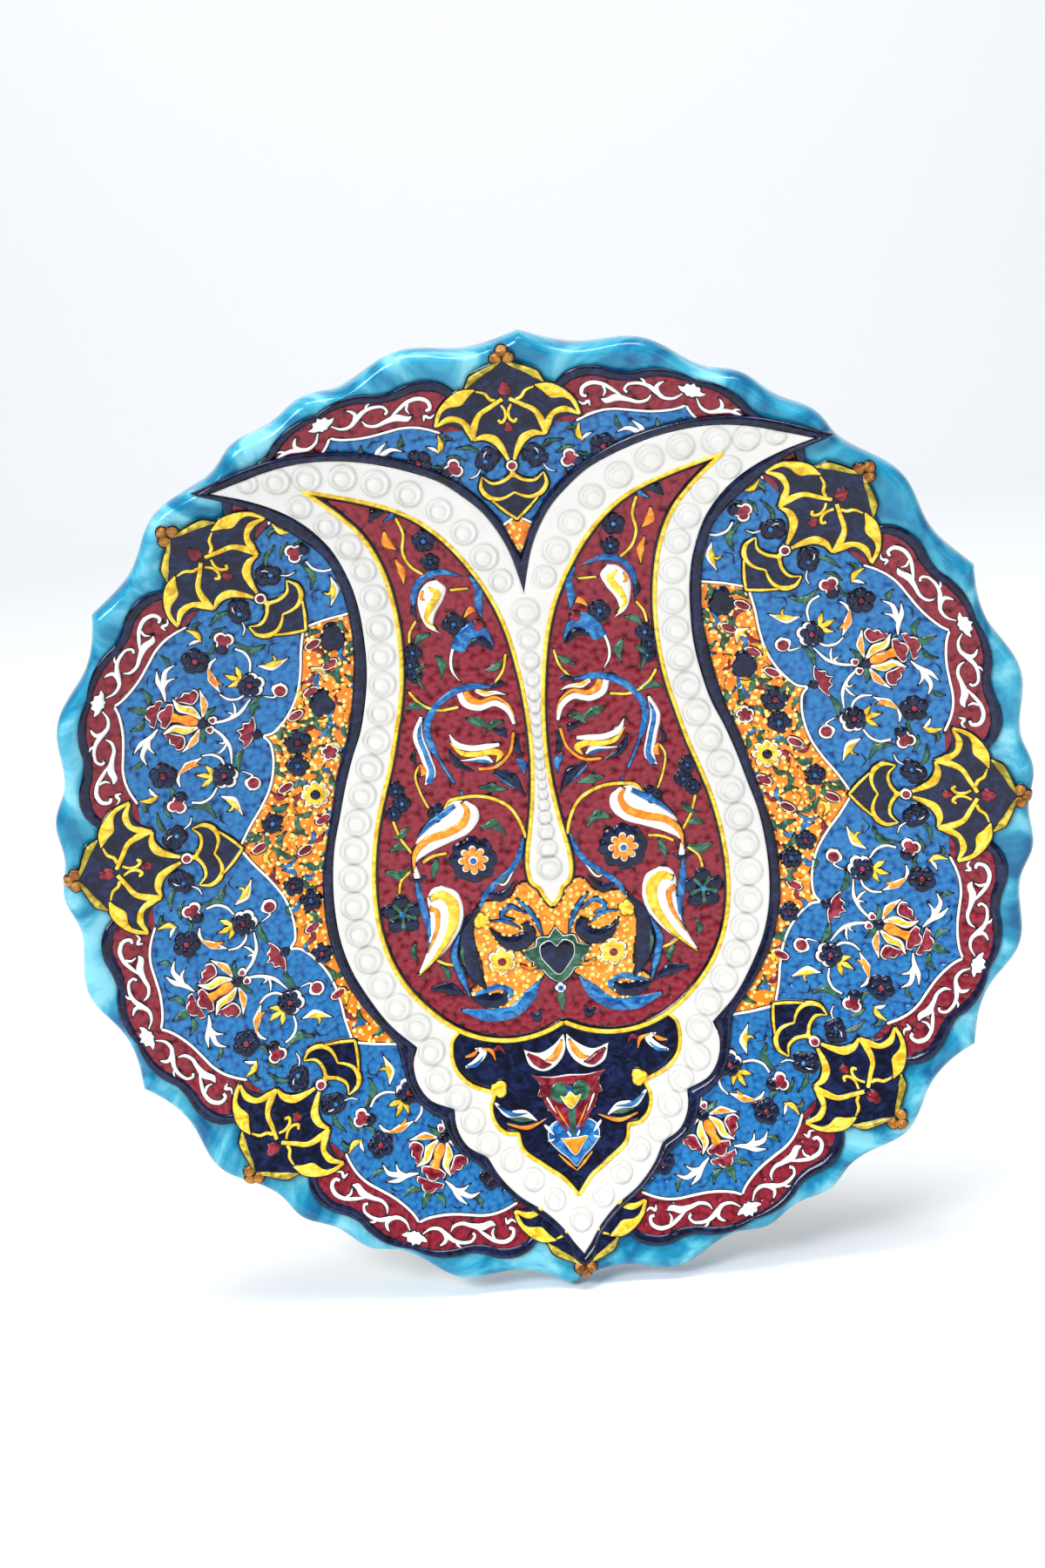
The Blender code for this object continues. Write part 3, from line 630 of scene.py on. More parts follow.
def trail(group, marks, on_tulip=False, replaced=()):
    """Lays the shapes on the face, one piece for each colour, without what the tulip would cover."""
    pieces = []
    for colour, shapes in marks.items():
        starts = np.cumsum([0] + [len(points) for points, quads in shapes[:-1]])
        points = np.concatenate([points for points, quads in shapes])
        quads = np.concatenate([quads + start for (_, quads), start in zip(shapes, starts)])
        if not on_tulip:
            quads = quads[~inside(TULIP_OUTLINE, points[:, 0], points[:, 1])[quads].all(axis=1)]
            used, quads = np.unique(quads, return_inverse=True)
            points, quads = points[used], quads.reshape(-1, 4)
        points[:, 2] += face_height(points[:, 0], points[:, 1])
        piece = make_mesh(f"{group}_{colour}", stand_up(points), quads, [], [GLAZES[colour]])
        pieces.append(piece)
    if replaced:
        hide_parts(*replaced)
    return pieces


SECTOR_ANGLES = [SECTOR * (i + 0.5) for i in range(8)]
lines = {}
stroke(lines, "navy", [(0, 146.5), (5, 146.7), (10, 146.1), (14.5, 144.5), (18.6, 142.3), (23, 141.2),
       (29, 140.7), (33.6, 138.8), (36.3, 136.4), (38.2, 132.6), (39, 129)],
       (1.6, 2.4, 2.7, 2.9, 2.9, 3.3, 3.5, 3.7, 3.5, 3, 2.6), height=1.35, lift=0.5, ink=0, columns=9)
stroke(lines, "white", PANEL_OGEE, 0.95, 0.6)
stroke(lines, "white", MEDALLION_FOOT, 1.0, 0.6)
trail("border_line", round_the_border(both_sides(lines), SECTOR_ANGLES))

# ---------------------------------------------------------------------------------------------
# White scrolls on the crimson panels: a small fleuron over the medallion's point and two running
# scrolls to each side of it, trailed in white with their leaves split and curled.
# ---------------------------------------------------------------------------------------------
def strokes(marks, rows, height=0.55, **more):
    """A bead of glaze for each row, which holds its colour, its width or widths, and its points."""
    for colour, width, *points in rows:
        stroke(marks, colour, points, width, height, **more)


def pad(marks, colour, centre, outline, height=0.6, lift=ON_GROUND, ink=INK, rings=(0.4, 0.7, 0.9, 1.0)):
    """A cushion of glaze whose whole outline can be seen from its centre. The height falls off from there
    as the root of 1 - s ** 4."""
    centre = np.array(centre, float)
    arms = np.asarray(outline, float) - centre
    arms = arms[np.linalg.norm(arms - np.roll(arms, 1, axis=0), axis=1) > 0.01]
    if winding(arms) < 0:
        arms = arms[::-1]

    def dome(arms, height, low):
        share = np.array(rings)[:, None, None]
        flat = centre + arms[None] * share
        rise = low + height * np.sqrt(np.clip(1 - share[..., 0] ** 4, 0, 1)) + 0 * flat[..., 0]
        rise[-1] = low - PAD_SINK
        points = np.concatenate([flat, rise[..., None]], -1).reshape(-1, 3)
        points = np.concatenate([points, [[*centre, low + height]]])
        count, layers = len(arms), len(rings)
        column = np.arange(count)
        beside = (column + 1) % count
        quads = [np.stack([column, count + column, count + beside, beside], -1) + layer * count
                 for layer in range(layers - 1)]
        middle = np.full(count // 2, layers * count)
        even = np.arange(0, count - 1, 2)
        quads.append(np.stack([middle, even, even + 1, (even + 2) % count], -1))
        return points, np.concatenate(quads)

    if len(arms) % 2:
        arms = np.concatenate([arms, (arms[-1:] + arms[:1]) / 2])
    if ink:
        length = np.linalg.norm(arms, axis=1)[:, None]
        add(marks, "black", dome(arms * (1 + ink / np.maximum(length, 0.3)), INK_HEIGHT, lift))
    add(marks, colour, dome(arms, height, lift + COAT))


def whole(half, spacing=0.6):
    """The closed outline whose one half runs down from the axis and back to it."""
    return curve(half + flipped(half)[1:], spacing)[:-1]


FLEURON = [
    (0, 146.3), (0.9, 145.3), (2.2, 145.4), (2.7, 144.2), (4.6, 143.9), (3.2, 142.7), (1.5, 142.2),
    (0.8, 141.6), (0, 141.9),
]
scrolls = {}
strokes(scrolls, (
    ("white", (0.4, 1, 1.3, 1.9, 1.4, 1.1, 1, 1, 0.9), (2.2, 142), (4.2, 139.9), (7, 139.2), (10, 140.4),
     (13, 141.3), (16.4, 140.9), (18.6, 139.6), (18.9, 138), (17.9, 137.5)),
    ("white", (1.4, 1.5, 1, 0.1), (9, 140), (10.2, 141.8), (9.4, 143.2), (8.4, 144)),
    ("white", (1.2, 0.9, 0.1), (13.5, 141.2), (14.6, 142.4), (16, 142.6)),
    ("white", (0.2, 1.1, 1.2, 1.6, 2.6, 2, 0.2), (10.9, 139.2), (11.4, 137.3), (13.5, 135.8), (17, 135.5),
     (20.5, 135), (23.2, 133.2), (24.6, 133.3)),
    ("white", (0.6, 1.3, 1.4, 1.6, 1.5, 1.3, 1), (19.2, 136), (22, 136.9), (26, 137.7), (29.4, 136.8),
     (31, 134.6), (30.3, 132.7), (29, 132.8)),
    ("white", (0.9, 1, 0.2), (25.4, 137.2), (24.2, 135.8), (24.4, 134)),
    ("white", (0.3, 1.3, 1, 0.2), (27, 130.2), (28, 131.5), (29, 130.3), (31.4, 130.8)),
))
scrolls = both_sides(scrolls)
pad(scrolls, "white", (0, 143.7), whole(FLEURON, 0.5))
trail("panel_scroll", round_the_border(scrolls, SECTOR_ANGLES))

# ---------------------------------------------------------------------------------------------
# The medallions' flowers: an orange and yellow lily on the axis, and to each side of it white
# feathers and ring stems, navy blossoms, small lotuses, buds and leaves.
# ---------------------------------------------------------------------------------------------
def oval(centre, wide, high, count, lean=0.0):
    """Points round an oval, which lean shears."""
    angle = np.linspace(0, 2 * pi, count, endpoint=False)
    return np.stack([centre[0] + wide * np.sin(angle), centre[1] + high * np.cos(angle + lean)], -1)


def bead(marks, colour, centre, radius, **more):
    """A round drop."""
    pad(marks, colour, centre, oval(centre, radius, radius, 12), **{"rings": (0.55, 0.87, 1.0), **more})


def blossom(marks, colour, centre, radius, petals=5, notch=0.30, turn=0.0, flat=1.0, **more):
    """A flower seen from the front: its radius dips between the petals as a cosine's size does."""
    angle = np.linspace(0, 2 * pi, petals * 8, endpoint=False)
    reach = radius * (1 - notch + notch * np.abs(np.cos(petals * (angle - turn) / 2)) ** 0.6)
    outline = np.stack([centre[0] + reach * np.sin(angle), centre[1] + flat * reach * np.cos(angle)], -1)
    pad(marks, colour, centre, outline, **more)


def two_tone(marks, colour, centre, radii, petals, notches, lift=ON_GROUND, step=0.2, **more):
    """A blossom on a slightly larger white one."""
    blossom(marks, "white", centre, radii[0], petals, notches[0], lift=lift, **more)
    blossom(marks, colour, centre, radii[1], petals, notches[1], lift=lift + step, ink=0, **more)


def rosette(marks, centre, radius, petals=5, lift=ON_GROUND, heart="crimson"):
    """A navy flower of separate petals about a small centre, each petal with a lighter stroke round it."""
    blossom(marks, "navy", centre, radius, petals, 0.18, lift=lift, height=0.5)
    for number in range(petals):
        angle = 2 * pi * number / petals
        way = np.array([np.sin(angle), np.cos(angle)])
        side = np.array([way[1], -way[0]])
        petal = centre + way * radius * 0.56
        bead(marks, "navy", petal, radius * 0.40, lift=lift + 0.3, height=0.55, ink=0)
        middle = centre + way * radius * 0.60
        stroke(marks, "blue", [middle - side * radius * 0.24, middle + way * radius * 0.16,
                               middle + side * radius * 0.24], (0.08, 0.30, 0.08), 0.12, lift + 0.82, 0, 3)
    bead(marks, heart, centre, radius * 0.22, lift=lift + 0.65, ink=0.22)


def edged(marks, colour, centre, outline, edge="white", rim=0.42, lift=ON_GROUND, **more):
    """A pad of one colour on a slightly larger one of another."""
    outline = np.asarray(outline, float)
    if len(outline) < 24:
        outline = curve(np.concatenate([outline, outline[:1]]), 0.6)[:-1]
    arms = outline - centre
    wider = centre + arms * (1 + rim / np.linalg.norm(arms, axis=1)[:, None])
    pad(marks, edge, centre, wider, 0.35, lift)
    pad(marks, colour, centre, outline, 0.55, lift + 0.14, ink=0, **more)


UPPER = ON_GROUND + 0.35
CROWN_TOP = [
    (-4.6, 125.9), (-4.2, 127.5), (-2.5, 127.8), (-1.9, 129), (0, 129.7), (1.9, 129), (2.5, 127.8),
    (4.2, 127.5), (4.6, 125.9), (2.2, 126), (0, 126.2), (-2.2, 126),
]
CROWN_LOW = [
    (-4.1, 122.7), (-3.7, 124.2), (-2, 124.5), (-1.3, 125.5), (0, 125.9), (1.3, 125.5), (2, 124.5),
    (3.7, 124.2), (4.1, 122.7), (2, 122), (0, 121.6), (-2, 122),
]
LILY_SIDE = [
    (5, 122.3), (6.4, 122.2), (7, 120.7), (8.4, 120.2), (8.6, 118.8), (10, 118), (9.4, 116.3), (7.4, 116),
    (5.6, 116.8), (5.4, 119.5),
]
LOTUS = [
    (0, 101.8), (1.1, 100.1), (2.5, 100.5), (3.2, 98.9), (5.6, 98.2), (3.6, 97), (1.6, 96.5), (0, 96.8),
]
flowers = {}
edged(flowers, "crimson", (7.3, 118.8), LILY_SIDE)
stroke(flowers, "white", [(1.8, 112.9), (6, 113.5), (10.6, 116)], (0.6, 3, 0.2))
stroke(flowers, "orange", [(1.8, 112.9), (6, 113.5), (10.2, 115.7)], (0.4, 2.3, 0.1), lift=ON_GROUND + 0.1,
       ink=0)
stroke(flowers, "white", [(1.5, 113.4), (3.3, 117), (3.3, 120), (5.9, 123)], (1, 3.3, 2.8, 0.3), lift=UPPER)
stroke(flowers, "yellow", [(1.6, 113.6), (3.4, 117), (3.5, 119.8), (5.4, 122.4)], (0.6, 2.3, 1.8, 0.2),
       lift=UPPER + 0.1, ink=0)
stroke(flowers, "green", [(0.8, 111.8), (3.4, 111.6), (5.8, 110.2)], (1, 2.4, 0.2))
blossom(flowers, "white", (1.6, 109.7), 1.5, 3, 0.25)
blossom(flowers, "crimson", (1.6, 109.8), 1.0, 3, 0.25, ink=0, lift=ON_GROUND + 0.2)
strokes(flowers, (
    ("green", (0.6, 2.5, 0.2), (2.6, 129.6), (5, 130), (6.8, 132.4)),
    ("white", (0.5, 1.7, 1.8, 0.1), (4.6, 124.9), (7.5, 126.2), (10.5, 128.6), (14, 129.9)),
    ("white", (0.6, 2, 1.6, 0.1), (7.2, 126), (11, 127), (14, 127.2), (17, 124.9)),
    ("white", (0.4, 1.2, 0.1), (8.4, 126.2), (11, 125.9), (12.8, 123.6)),
))
rosette(flowers, (19.2, 119.5), 4.3)
blossom(flowers, "white", (15.6, 101.1), 4.2, 5, 0.2)
rosette(flowers, (15.3, 101.7), 4.0, lift=ON_GROUND + 0.2)
strokes(flowers, (
    ("yellow", (1.2, 2, 0.1), (16.4, 105), (14.6, 106.2), (13.2, 108.2)),
    ("yellow", (1.2, 2.1, 0.1), (16.8, 105), (18.8, 106.2), (20.4, 107.4)),
))
stroke(flowers, "yellow", [(16.6, 105), (16.5, 107.4), (17, 110)], (1, 2.2, 0.1), lift=ON_GROUND + 0.15)
stroke(flowers, "white", [(18, 115.4), (14.6, 113.2), (10.9, 109.8)], (0.4, 3.2, 0.2))
stroke(flowers, "orange", [(18, 115.3), (14.8, 113.4), (11.6, 110.4)], (0.3, 2.4, 0.2), ink=0,
       lift=ON_GROUND + 0.15)
strokes(flowers, (
    ("orange", (0.6, 1.4, 0.1), (15.6, 113), (13.8, 111.2), (13.6, 109.8)),
    ("white", (0.5, 1, 1, 0.7), (10.4, 109.9), (9.4, 107), (10.2, 104), (12.4, 102.2)),
    ("white", (0.8, 1, 1, 0.7), (25.9, 109), (25.3, 106), (23, 103.7), (19.6, 102.8)),
    ("white", (0.6, 1.3, 0.5), (17.4, 114.9), (19.6, 114.9), (21.6, 113.7)),
    ("white", (0.9, 1.2, 1.4, 0.5), (0.9, 109.2), (2.4, 106), (5.5, 102.6), (11, 100.4)),
    ("white", (0.8, 1, 0.1), (4.6, 103.6), (7, 104.2), (9.2, 105.6)),
    ("white", (0.5, 0.9, 0.1), (3.4, 105), (4.8, 104.4), (5.2, 106.4)),
))
two_tone(flowers, "crimson", (27.6, 113), (3.4, 2.7), 3, (0.42, 0.42), turn=0.5)
bead(flowers, "navy", (25, 112.8), 1.8, height=0.8, lift=ON_GROUND + 0.1)
strokes(flowers, (
    ("green", (0.2, 3.1, 0.2), (29.2, 100.6), (26.6, 104), (27.8, 109.4)),
    ("green", (0.2, 3.1, 0.2), (5.4, 98.3), (9, 98.9), (12.8, 97.8)),
    ("green", (0.2, 2, 0.2), (15.6, 126.6), (17.6, 127.6), (18.6, 129.4)),
    ("green", (0.2, 1.6, 0.2), (22, 117.2), (23.4, 115.6), (26, 115.6)),
    ("green", (0.2, 1.6, 0.2), (27.8, 117), (30, 116), (32, 113.6)),
    ("white", (0.2, 3.2, 0.2), (22, 101), (22.8, 97), (26.8, 92.6)),
))
stroke(flowers, "yellow", [(22.3, 100), (23.5, 96.6), (26.3, 93.2)], (0.2, 2.5, 0.2), ink=0,
       lift=ON_GROUND + 0.15)
strokes(flowers, (
    ("yellow", (0.8, 1.1, 0.1), (24, 96.6), (25.4, 96.4), (26.6, 97.6)),
    ("yellow", (0.3, 2.3, 0.1), (25.6, 119.4), (27.6, 121), (28.6, 124.8)),
    ("white", (0.8, 1.4, 0.1), (26, 120), (25.2, 121.4), (23.8, 122.8)),
    ("white", (0.4, 0.8, 0.8, 0.2), (18.4, 92.5), (16, 94.8), (13.6, 93.2), (12.6, 97.4)),
))
bead(flowers, "white", (15.9, 92.2), 2.5)
bead(flowers, "crimson", (15.7, 92.3), 2.0, ink=0, lift=ON_GROUND + 0.15, height=0.7)
rosette(flowers, (37.3, 110.5), 3.4, 4, heart="blue")
stroke(flowers, "white", [(30.6, 107.8), (33, 107.8), (34.8, 109)], (0.3, 0.7, 0.4))
strokes(flowers, (
    ("navy", (0.2, 0.8, 0.2), (27.4, 119), (30, 121.6), (32.4, 120.2)),
    ("navy", (0.2, 0.6, 0.2), (8, 131), (10.6, 131.8), (12.4, 131)),
    ("navy", (0.2, 0.6, 0.2), (26.6, 98.8), (29.4, 99.2), (31, 96.4)),
), height=0.3, ink=0)
flowers = both_sides(flowers)
stroke(flowers, "green", [(0, 128.8), (0, 131.4), (0, 134.6)], (2.2, 3.6, 0.2))
edged(flowers, "crimson", (0, 127.2), CROWN_TOP)
edged(flowers, "crimson", (0, 123.6), CROWN_LOW, lift=ON_GROUND + 0.2)
stroke(flowers, "orange", [(0, 113), (0, 116.4), (0, 119.4), (0, 122)], (1.2, 4.2, 2.6, 3.6),
       lift=ON_GROUND + 0.5)
bead(flowers, "navy", (0, 112.7), 1.8, height=0.8, lift=UPPER)
edged(flowers, "crimson", (0, 98.4), whole(LOTUS, 0.5))
bead(flowers, "navy", (0, 95.6), 1.5)
trail("medallion_flower", round_the_border(flowers, SECTOR_ANGLES))

# ---------------------------------------------------------------------------------------------
# Eight palmettes between the panels: a navy shield under yellow split leaves, with a brown trefoil
# at the rim, a red bead below and a navy pendant under that. They lie over the border's grounds.
# ---------------------------------------------------------------------------------------------
def read_at(line, at, own):
    """The line's place where its own measure has each of the values."""
    return np.stack([np.interp(at, own, line[:, i]) for i in (0, 1)], -1)


def patch(marks, colour, side_a, side_b, height=0.6, lift=ON_GROUND, ink=INK, columns=7, spacing=0.6):
    """A cushion of glaze between two sides that start at one point and end at another."""
    a, b = curve(side_a, spacing), curve(side_b, spacing)
    share = np.linspace(0, 1, max(len(a), len(b)))
    a, b = (read_at(line, share, np.linspace(0, 1, len(line))) for line in (a, b))
    if ink:
        apart = a - b
        apart /= np.maximum(np.linalg.norm(apart, axis=1), 0.4)[:, None]
        add(marks, "black", sheet_of(a + apart * ink, b - apart * ink, INK_HEIGHT, lift, 5, 8))
    add(marks, colour, sheet_of(a, b, height, lift + COAT, columns))


PALMETTE_RISE = 0.0018 / UNIT
PLACES = ("top", "upper_right", "right", "lower_right", "lower_left", "left", "upper_left")
OVER = PALMETTE_RISE + 0.06
PALMETTE = [
    (0, 113), (1.9, 115.4), (2.6, 119.3), (5.5, 122.6), (11, 123), (11, 123), (12.8, 126), (15.5, 128),
    (21.8, 128.2), (21.8, 128.2), (20.3, 132.8), (16.5, 137), (11.8, 139.6), (11.8, 139.6), (9, 142.6),
    (3.6, 145.2), (0, 147.6),
]
PENDANT = [
    (0, 97), (3.4, 99.8), (6.8, 103.4), (9.2, 105.2), (10.1, 108), (9.8, 111.2), (8, 109.6), (4.6, 109.2),
    (2.2, 110.4), (1, 111.7), (0, 112),
]
LEAF_TOP = [(8.8, 138.6), (12.6, 138.6), (17, 136.4), (20.6, 131.8)]
LEAF_UNDER = [(8.8, 138.6), (11.2, 136.4), (13, 134.4), (17.6, 133.8), (20.6, 131.8)]
palmettes = {}
strokes(palmettes, (
    ("olive", (0.5, 2.6, 2, 1.4, 1.2), (11.6, 139.4), (9.4, 141.8), (6, 143.8), (2.6, 145.4), (0.6, 147)),
    ("yellow", (0.64, 1.15, 1.28, 1.15), (8.6, 138.2), (6, 137.2), (4.6, 135.4), (3, 134.8)),
    ("yellow", (0.64, 1.28, 1.54, 1.66, 1.15), (9, 138.6), (13, 138.4), (17.2, 136), (20.2, 132.4),
     (21.6, 128.6)),
), lift=OVER)
patch(palmettes, "yellow", LEAF_TOP, LEAF_UNDER, 0.7, OVER)
strokes(palmettes, (
    ("yellow", (0.9, 2.43, 1.92, 2.56, 1.02), (21.4, 128.7), (17, 130.5), (13.6, 129.4), (11.8, 126.4),
     (11, 123.4)),
    ("yellow", (1.41, 1.66, 1.92, 2.56, 1.28), (1, 135.2), (4.5, 133.2), (8.4, 130.8), (10.2, 127.2),
     (10.8, 123.4)),
    ("yellow", (0.77, 2.43, 3.07, 2.18, 1.15), (10.8, 123.3), (7.4, 124), (4.4, 122.8), (2.3, 119.6),
     (0.9, 116.2)),
    ("yellow", (0.9, 1.02, 1.15, 1.28, 1.02), (1.5, 133.4), (0.5, 131.4), (0.8, 128.9), (2, 128),
     (2.8, 129)),
), lift=OVER)
rosette(palmettes, (6.8, 117.4), 3.6, 4, heart="navy")
stroke(palmettes, "white", [(7.2, 119.4), (8, 118.6), (8.3, 117.6)], (0.2, 0.5, 0.1), height=0.2,
       lift=UPPER + 0.5, ink=0)
strokes(palmettes, (
    ("green", (0.3, 2, 0.2), (8.8, 118.8), (11.6, 120.8), (16, 121.2)),
    ("green", (0.3, 1.6, 0.2), (17.4, 124.4), (19, 124.8), (20.6, 123.6)),
))
strokes(palmettes, (
    ("yellow", (1.41, 1.28, 1.15, 0.38), (0.4, 111.4), (3, 109.7), (6.6, 109.3), (9.4, 111.6)),
    ("yellow", (0.51, 1.54, 1.92, 1.41, 1.02, 0.77), (9.5, 111.4), (10, 108), (8.4, 105.4), (4.8, 104.1),
     (2, 104.8), (0, 105.9)),
    ("yellow", (0.77, 1.15, 1.02), (7, 103.8), (3.5, 100.2), (0, 97.2)),
), lift=OVER)
palmettes = both_sides(palmettes)
for middle, half in ((129, PALMETTE), (105.5, PENDANT)):
    pad(palmettes, "navy", (0, middle), whole(half, 0.7), 0.16, PALMETTE_RISE - 0.1,
        rings=(0.25, 0.45, 0.62, 0.76, 0.87, 0.95, 0.985, 1.0))
blossom(palmettes, "crimson", (0, 138.2), 2.1, 3, 0.3, flat=1.15, lift=OVER)
blossom(palmettes, "crimson", (0, 126.4), 1.4, 3, 0.3, flat=1.25, lift=OVER)
bead(palmettes, "white", (0, 114.3), 1.9, lift=OVER)
bead(palmettes, "crimson", (0, 114.3), 1.3, lift=OVER + 0.4, ink=0)
stroke(palmettes, "yellow", [(0, 113.2), (0, 110.6)], 1.9, lift=OVER + 0.05)
for lobe_x, lobe_y in ((-1.9, 147.4), (1.9, 147.4), (0, 149.6)):
    bead(palmettes, "brown", (lobe_x, lobe_y), 1.75, height=1.1, lift=OVER)
trail("palmette", round_the_border(palmettes, [SECTOR * i for i in range(8)]), replaced=(
    [f"palmette_{place}" for place in PLACES] + ["palmette_bottom_left", "palmette_bottom_right"]
    + [f"pendant_{place}" for place in PLACES]))

# ---------------------------------------------------------------------------------------------
# Flowers on the gold ground: blossoms, buds, a daisy and leaves over an orange glaze that is
# sprinkled with small yellow dots, each set down as a drop.
# ---------------------------------------------------------------------------------------------
def scattered(covers, gap, low, high, seed=7):
    """Places on a jittered grid of the given gap, where covers holds for the whole drop."""
    random = np.random.default_rng(seed)
    x, y = np.meshgrid(np.arange(low[0], high[0], gap), np.arange(low[1], high[1], gap))
    x = x + random.uniform(-0.38, 0.38, x.shape) * gap
    y = y + random.uniform(-0.38, 0.38, y.shape) * gap
    radius = random.uniform(0.50, 0.92, x.shape)
    kept = covers(x, y) & covers(x + 0.8, y) & covers(x - 0.8, y) & covers(x, y + 0.8) & covers(x, y - 0.8)
    return np.stack([x[kept], y[kept], radius[kept]], -1)


def drops(marks, colour, places, lift):
    """A bead at each place, which holds its own radius."""
    for x, y, radius in places:
        bead(marks, colour, (x, y), radius, height=0.5, lift=lift, ink=0)


gold = {}
drops(gold, "butter", scattered(gold_covers, 2.25, (-98, -75), (98, 98)), GROUND - 0.05)
gold_side = {}
for x, y in ((61, 65), (67, 44)):
    blossom(gold_side, "navy", (x, y), 4.2, 3, 0.25, flat=1.25, height=0.9)
    stroke(gold_side, "blue", [(x - 3, y - 3), (x - 1.5, y - 6), (x - 4, y - 9)], (0.4, 2.0, 0.2))
    stroke(gold_side, "green", [(x + 2, y - 4), (x + 2.6, y - 7), (x - 0.5, y - 10)], (0.3, 2.4, 0.2))
fallen = scattered(gold_covers, 5.6, (50, -72), (98, 74), seed=3)
for number, (x, y, lean) in enumerate(fallen):
    angle = 2.4 * number
    way = np.array([np.sin(angle), np.cos(angle)]) * 2.6
    side = np.array([way[1], -way[0]]) * 0.45
    middle = np.array([x, y])
    stroke(gold_side, ("green", "green", "blue", "crimson", "green", "orange")[number % 6],
           [middle - way, middle + side, middle + way], (0.3, 2.0 + lean, 0.1), 0.5, ON_GROUND - 0.05)
rosette(gold_side, (76, 32), 4.4)
rosette(gold_side, (77, 24.4), 3.9, 4, heart="blue")
rosette(gold_side, (87, 6.4), 3.6, heart="blue")
rosette(gold_side, (83, -15.4), 3.4)
rosette(gold_side, (76.4, -39), 3.4)
for place in ((67.4, 63.6), (63, 56.4), (71.2, 5.4), (75.6, 41), (78, -4), (78.5, -30), (92, -1), (70, 48),
              (72.6, -53), (81.6, 17.6)):
    edged(gold_side, "crimson", place, oval(place, 2.4, 1.6, 8, 0.6))
stroke(gold_side, "white", [(69, 56), (66, 54.6), (65.2, 51.2)], (0.3, 2.8, 0.3))
stroke(gold_side, "yellow", [(69, 55.8), (66, 54.4), (65.2, 51.2)], (0.2, 1.8, 0.2), ink=0,
       lift=ON_GROUND + 0.2)
two_tone(gold_side, "yellow", (72.6, 14), (5.0, 4.4), 8, (0.32, 0.34))
bead(gold_side, "navy", (72.6, 14), 1.4, lift=ON_GROUND + 0.8)
two_tone(gold_side, "crimson", (66.4, 27.4), (3.2, 2.6), 5, (0.3, 0.32))
stroke(gold_side, "yellow", [(67, 30.4), (64, 29.6), (62.8, 27)], (0.3, 1.8, 0.2))
for colour, width, *path in (
    ("blue", 2, (70.6, 22.6), (68, 21.4), (66.2, 20)),
    ("green", 2.6, (64, 36.6), (66, 33.8), (65, 31)),
    ("green", 2.2, (71, 36.4), (74.6, 36), (76.4, 33)),
    ("green", 2.4, (80, 17), (77, 18.4), (74.6, 17.4)),
    ("green", 2.2, (79.4, 8), (76, 7.4), (74.4, 9.4)),
    ("blue", 1.8, (75.4, 3), (74.6, 0), (77, -3)),
    ("green", 2.4, (80, -8.6), (77.4, -9.2), (75, -10.6)),
    ("blue", 1.8, (80, -11.6), (77.6, -13.6), (76.2, -12)),
    ("green", 2.2, (80, -25), (77.2, -26), (78.4, -28.6)),
    ("yellow", 1.8, (69.6, 38.6), (66.4, 38), (64.6, 40)),
    ("green", 2.4, (59, 56.4), (61.4, 53), (60, 50)),
    ("orange", 2, (61, 47.6), (63.6, 46), (62, 43)),
    ("green", 2.4, (82, 12), (84.6, 11), (87.4, 12)),
    ("green", 2.4, (90.4, 4), (92.6, 2), (95.6, 1.6)),
    ("green", 2.6, (83.4, 3), (86, 0.4), (84.4, -3)),
    ("yellow", 2.2, (88, -2), (90.6, -4.4), (89, -7.4)),
    ("blue", 2, (81, -6.2), (84, -8.4), (87.4, -7.6)),
    ("orange", 2.2, (79.6, 1.6), (81.6, -1), (80.4, -4)),
    ("yellow", 2, (72.4, 51), (74, 47.6), (72.6, 44)),
    ("green", 2.2, (69.4, 50), (71, 47.4), (70, 44.6)),
    ("green", 2.4, (79, 38.4), (81.4, 36), (80.4, 32.6)),
    ("green", 2.4, (82.4, 27.6), (83.6, 23.6), (81, 21)),
    ("orange", 2, (79.6, 14), (80.6, 10.8), (79, 8)),
    ("green", 2.4, (75.6, -43.6), (73.4, -47), (74.6, -50)),
    ("yellow", 2, (72.6, -50.6), (70, -53.6), (70.6, -57)),
    ("green", 1.8, (66.8, -58.6), (66.6, -61.6), (64.6, -63.6)),
    ("blue", 1.9, (79.6, -34), (81.6, -36.4), (80, -39.4)),
    ("green", 2.2, (84.6, -20), (85.6, -23), (83.6, -26)),
):
    stroke(gold_side, colour, path, (0.2, width, 0.2))
rosette(gold_side, (78, -21), 3.7, heart="blue")
stroke(gold_side, "blue", [(58, -66), (59, -60), (62, -56)], (0.2, 1.4, 0.2))
trail("gold_flower", together(both_sides(gold_side), gold))

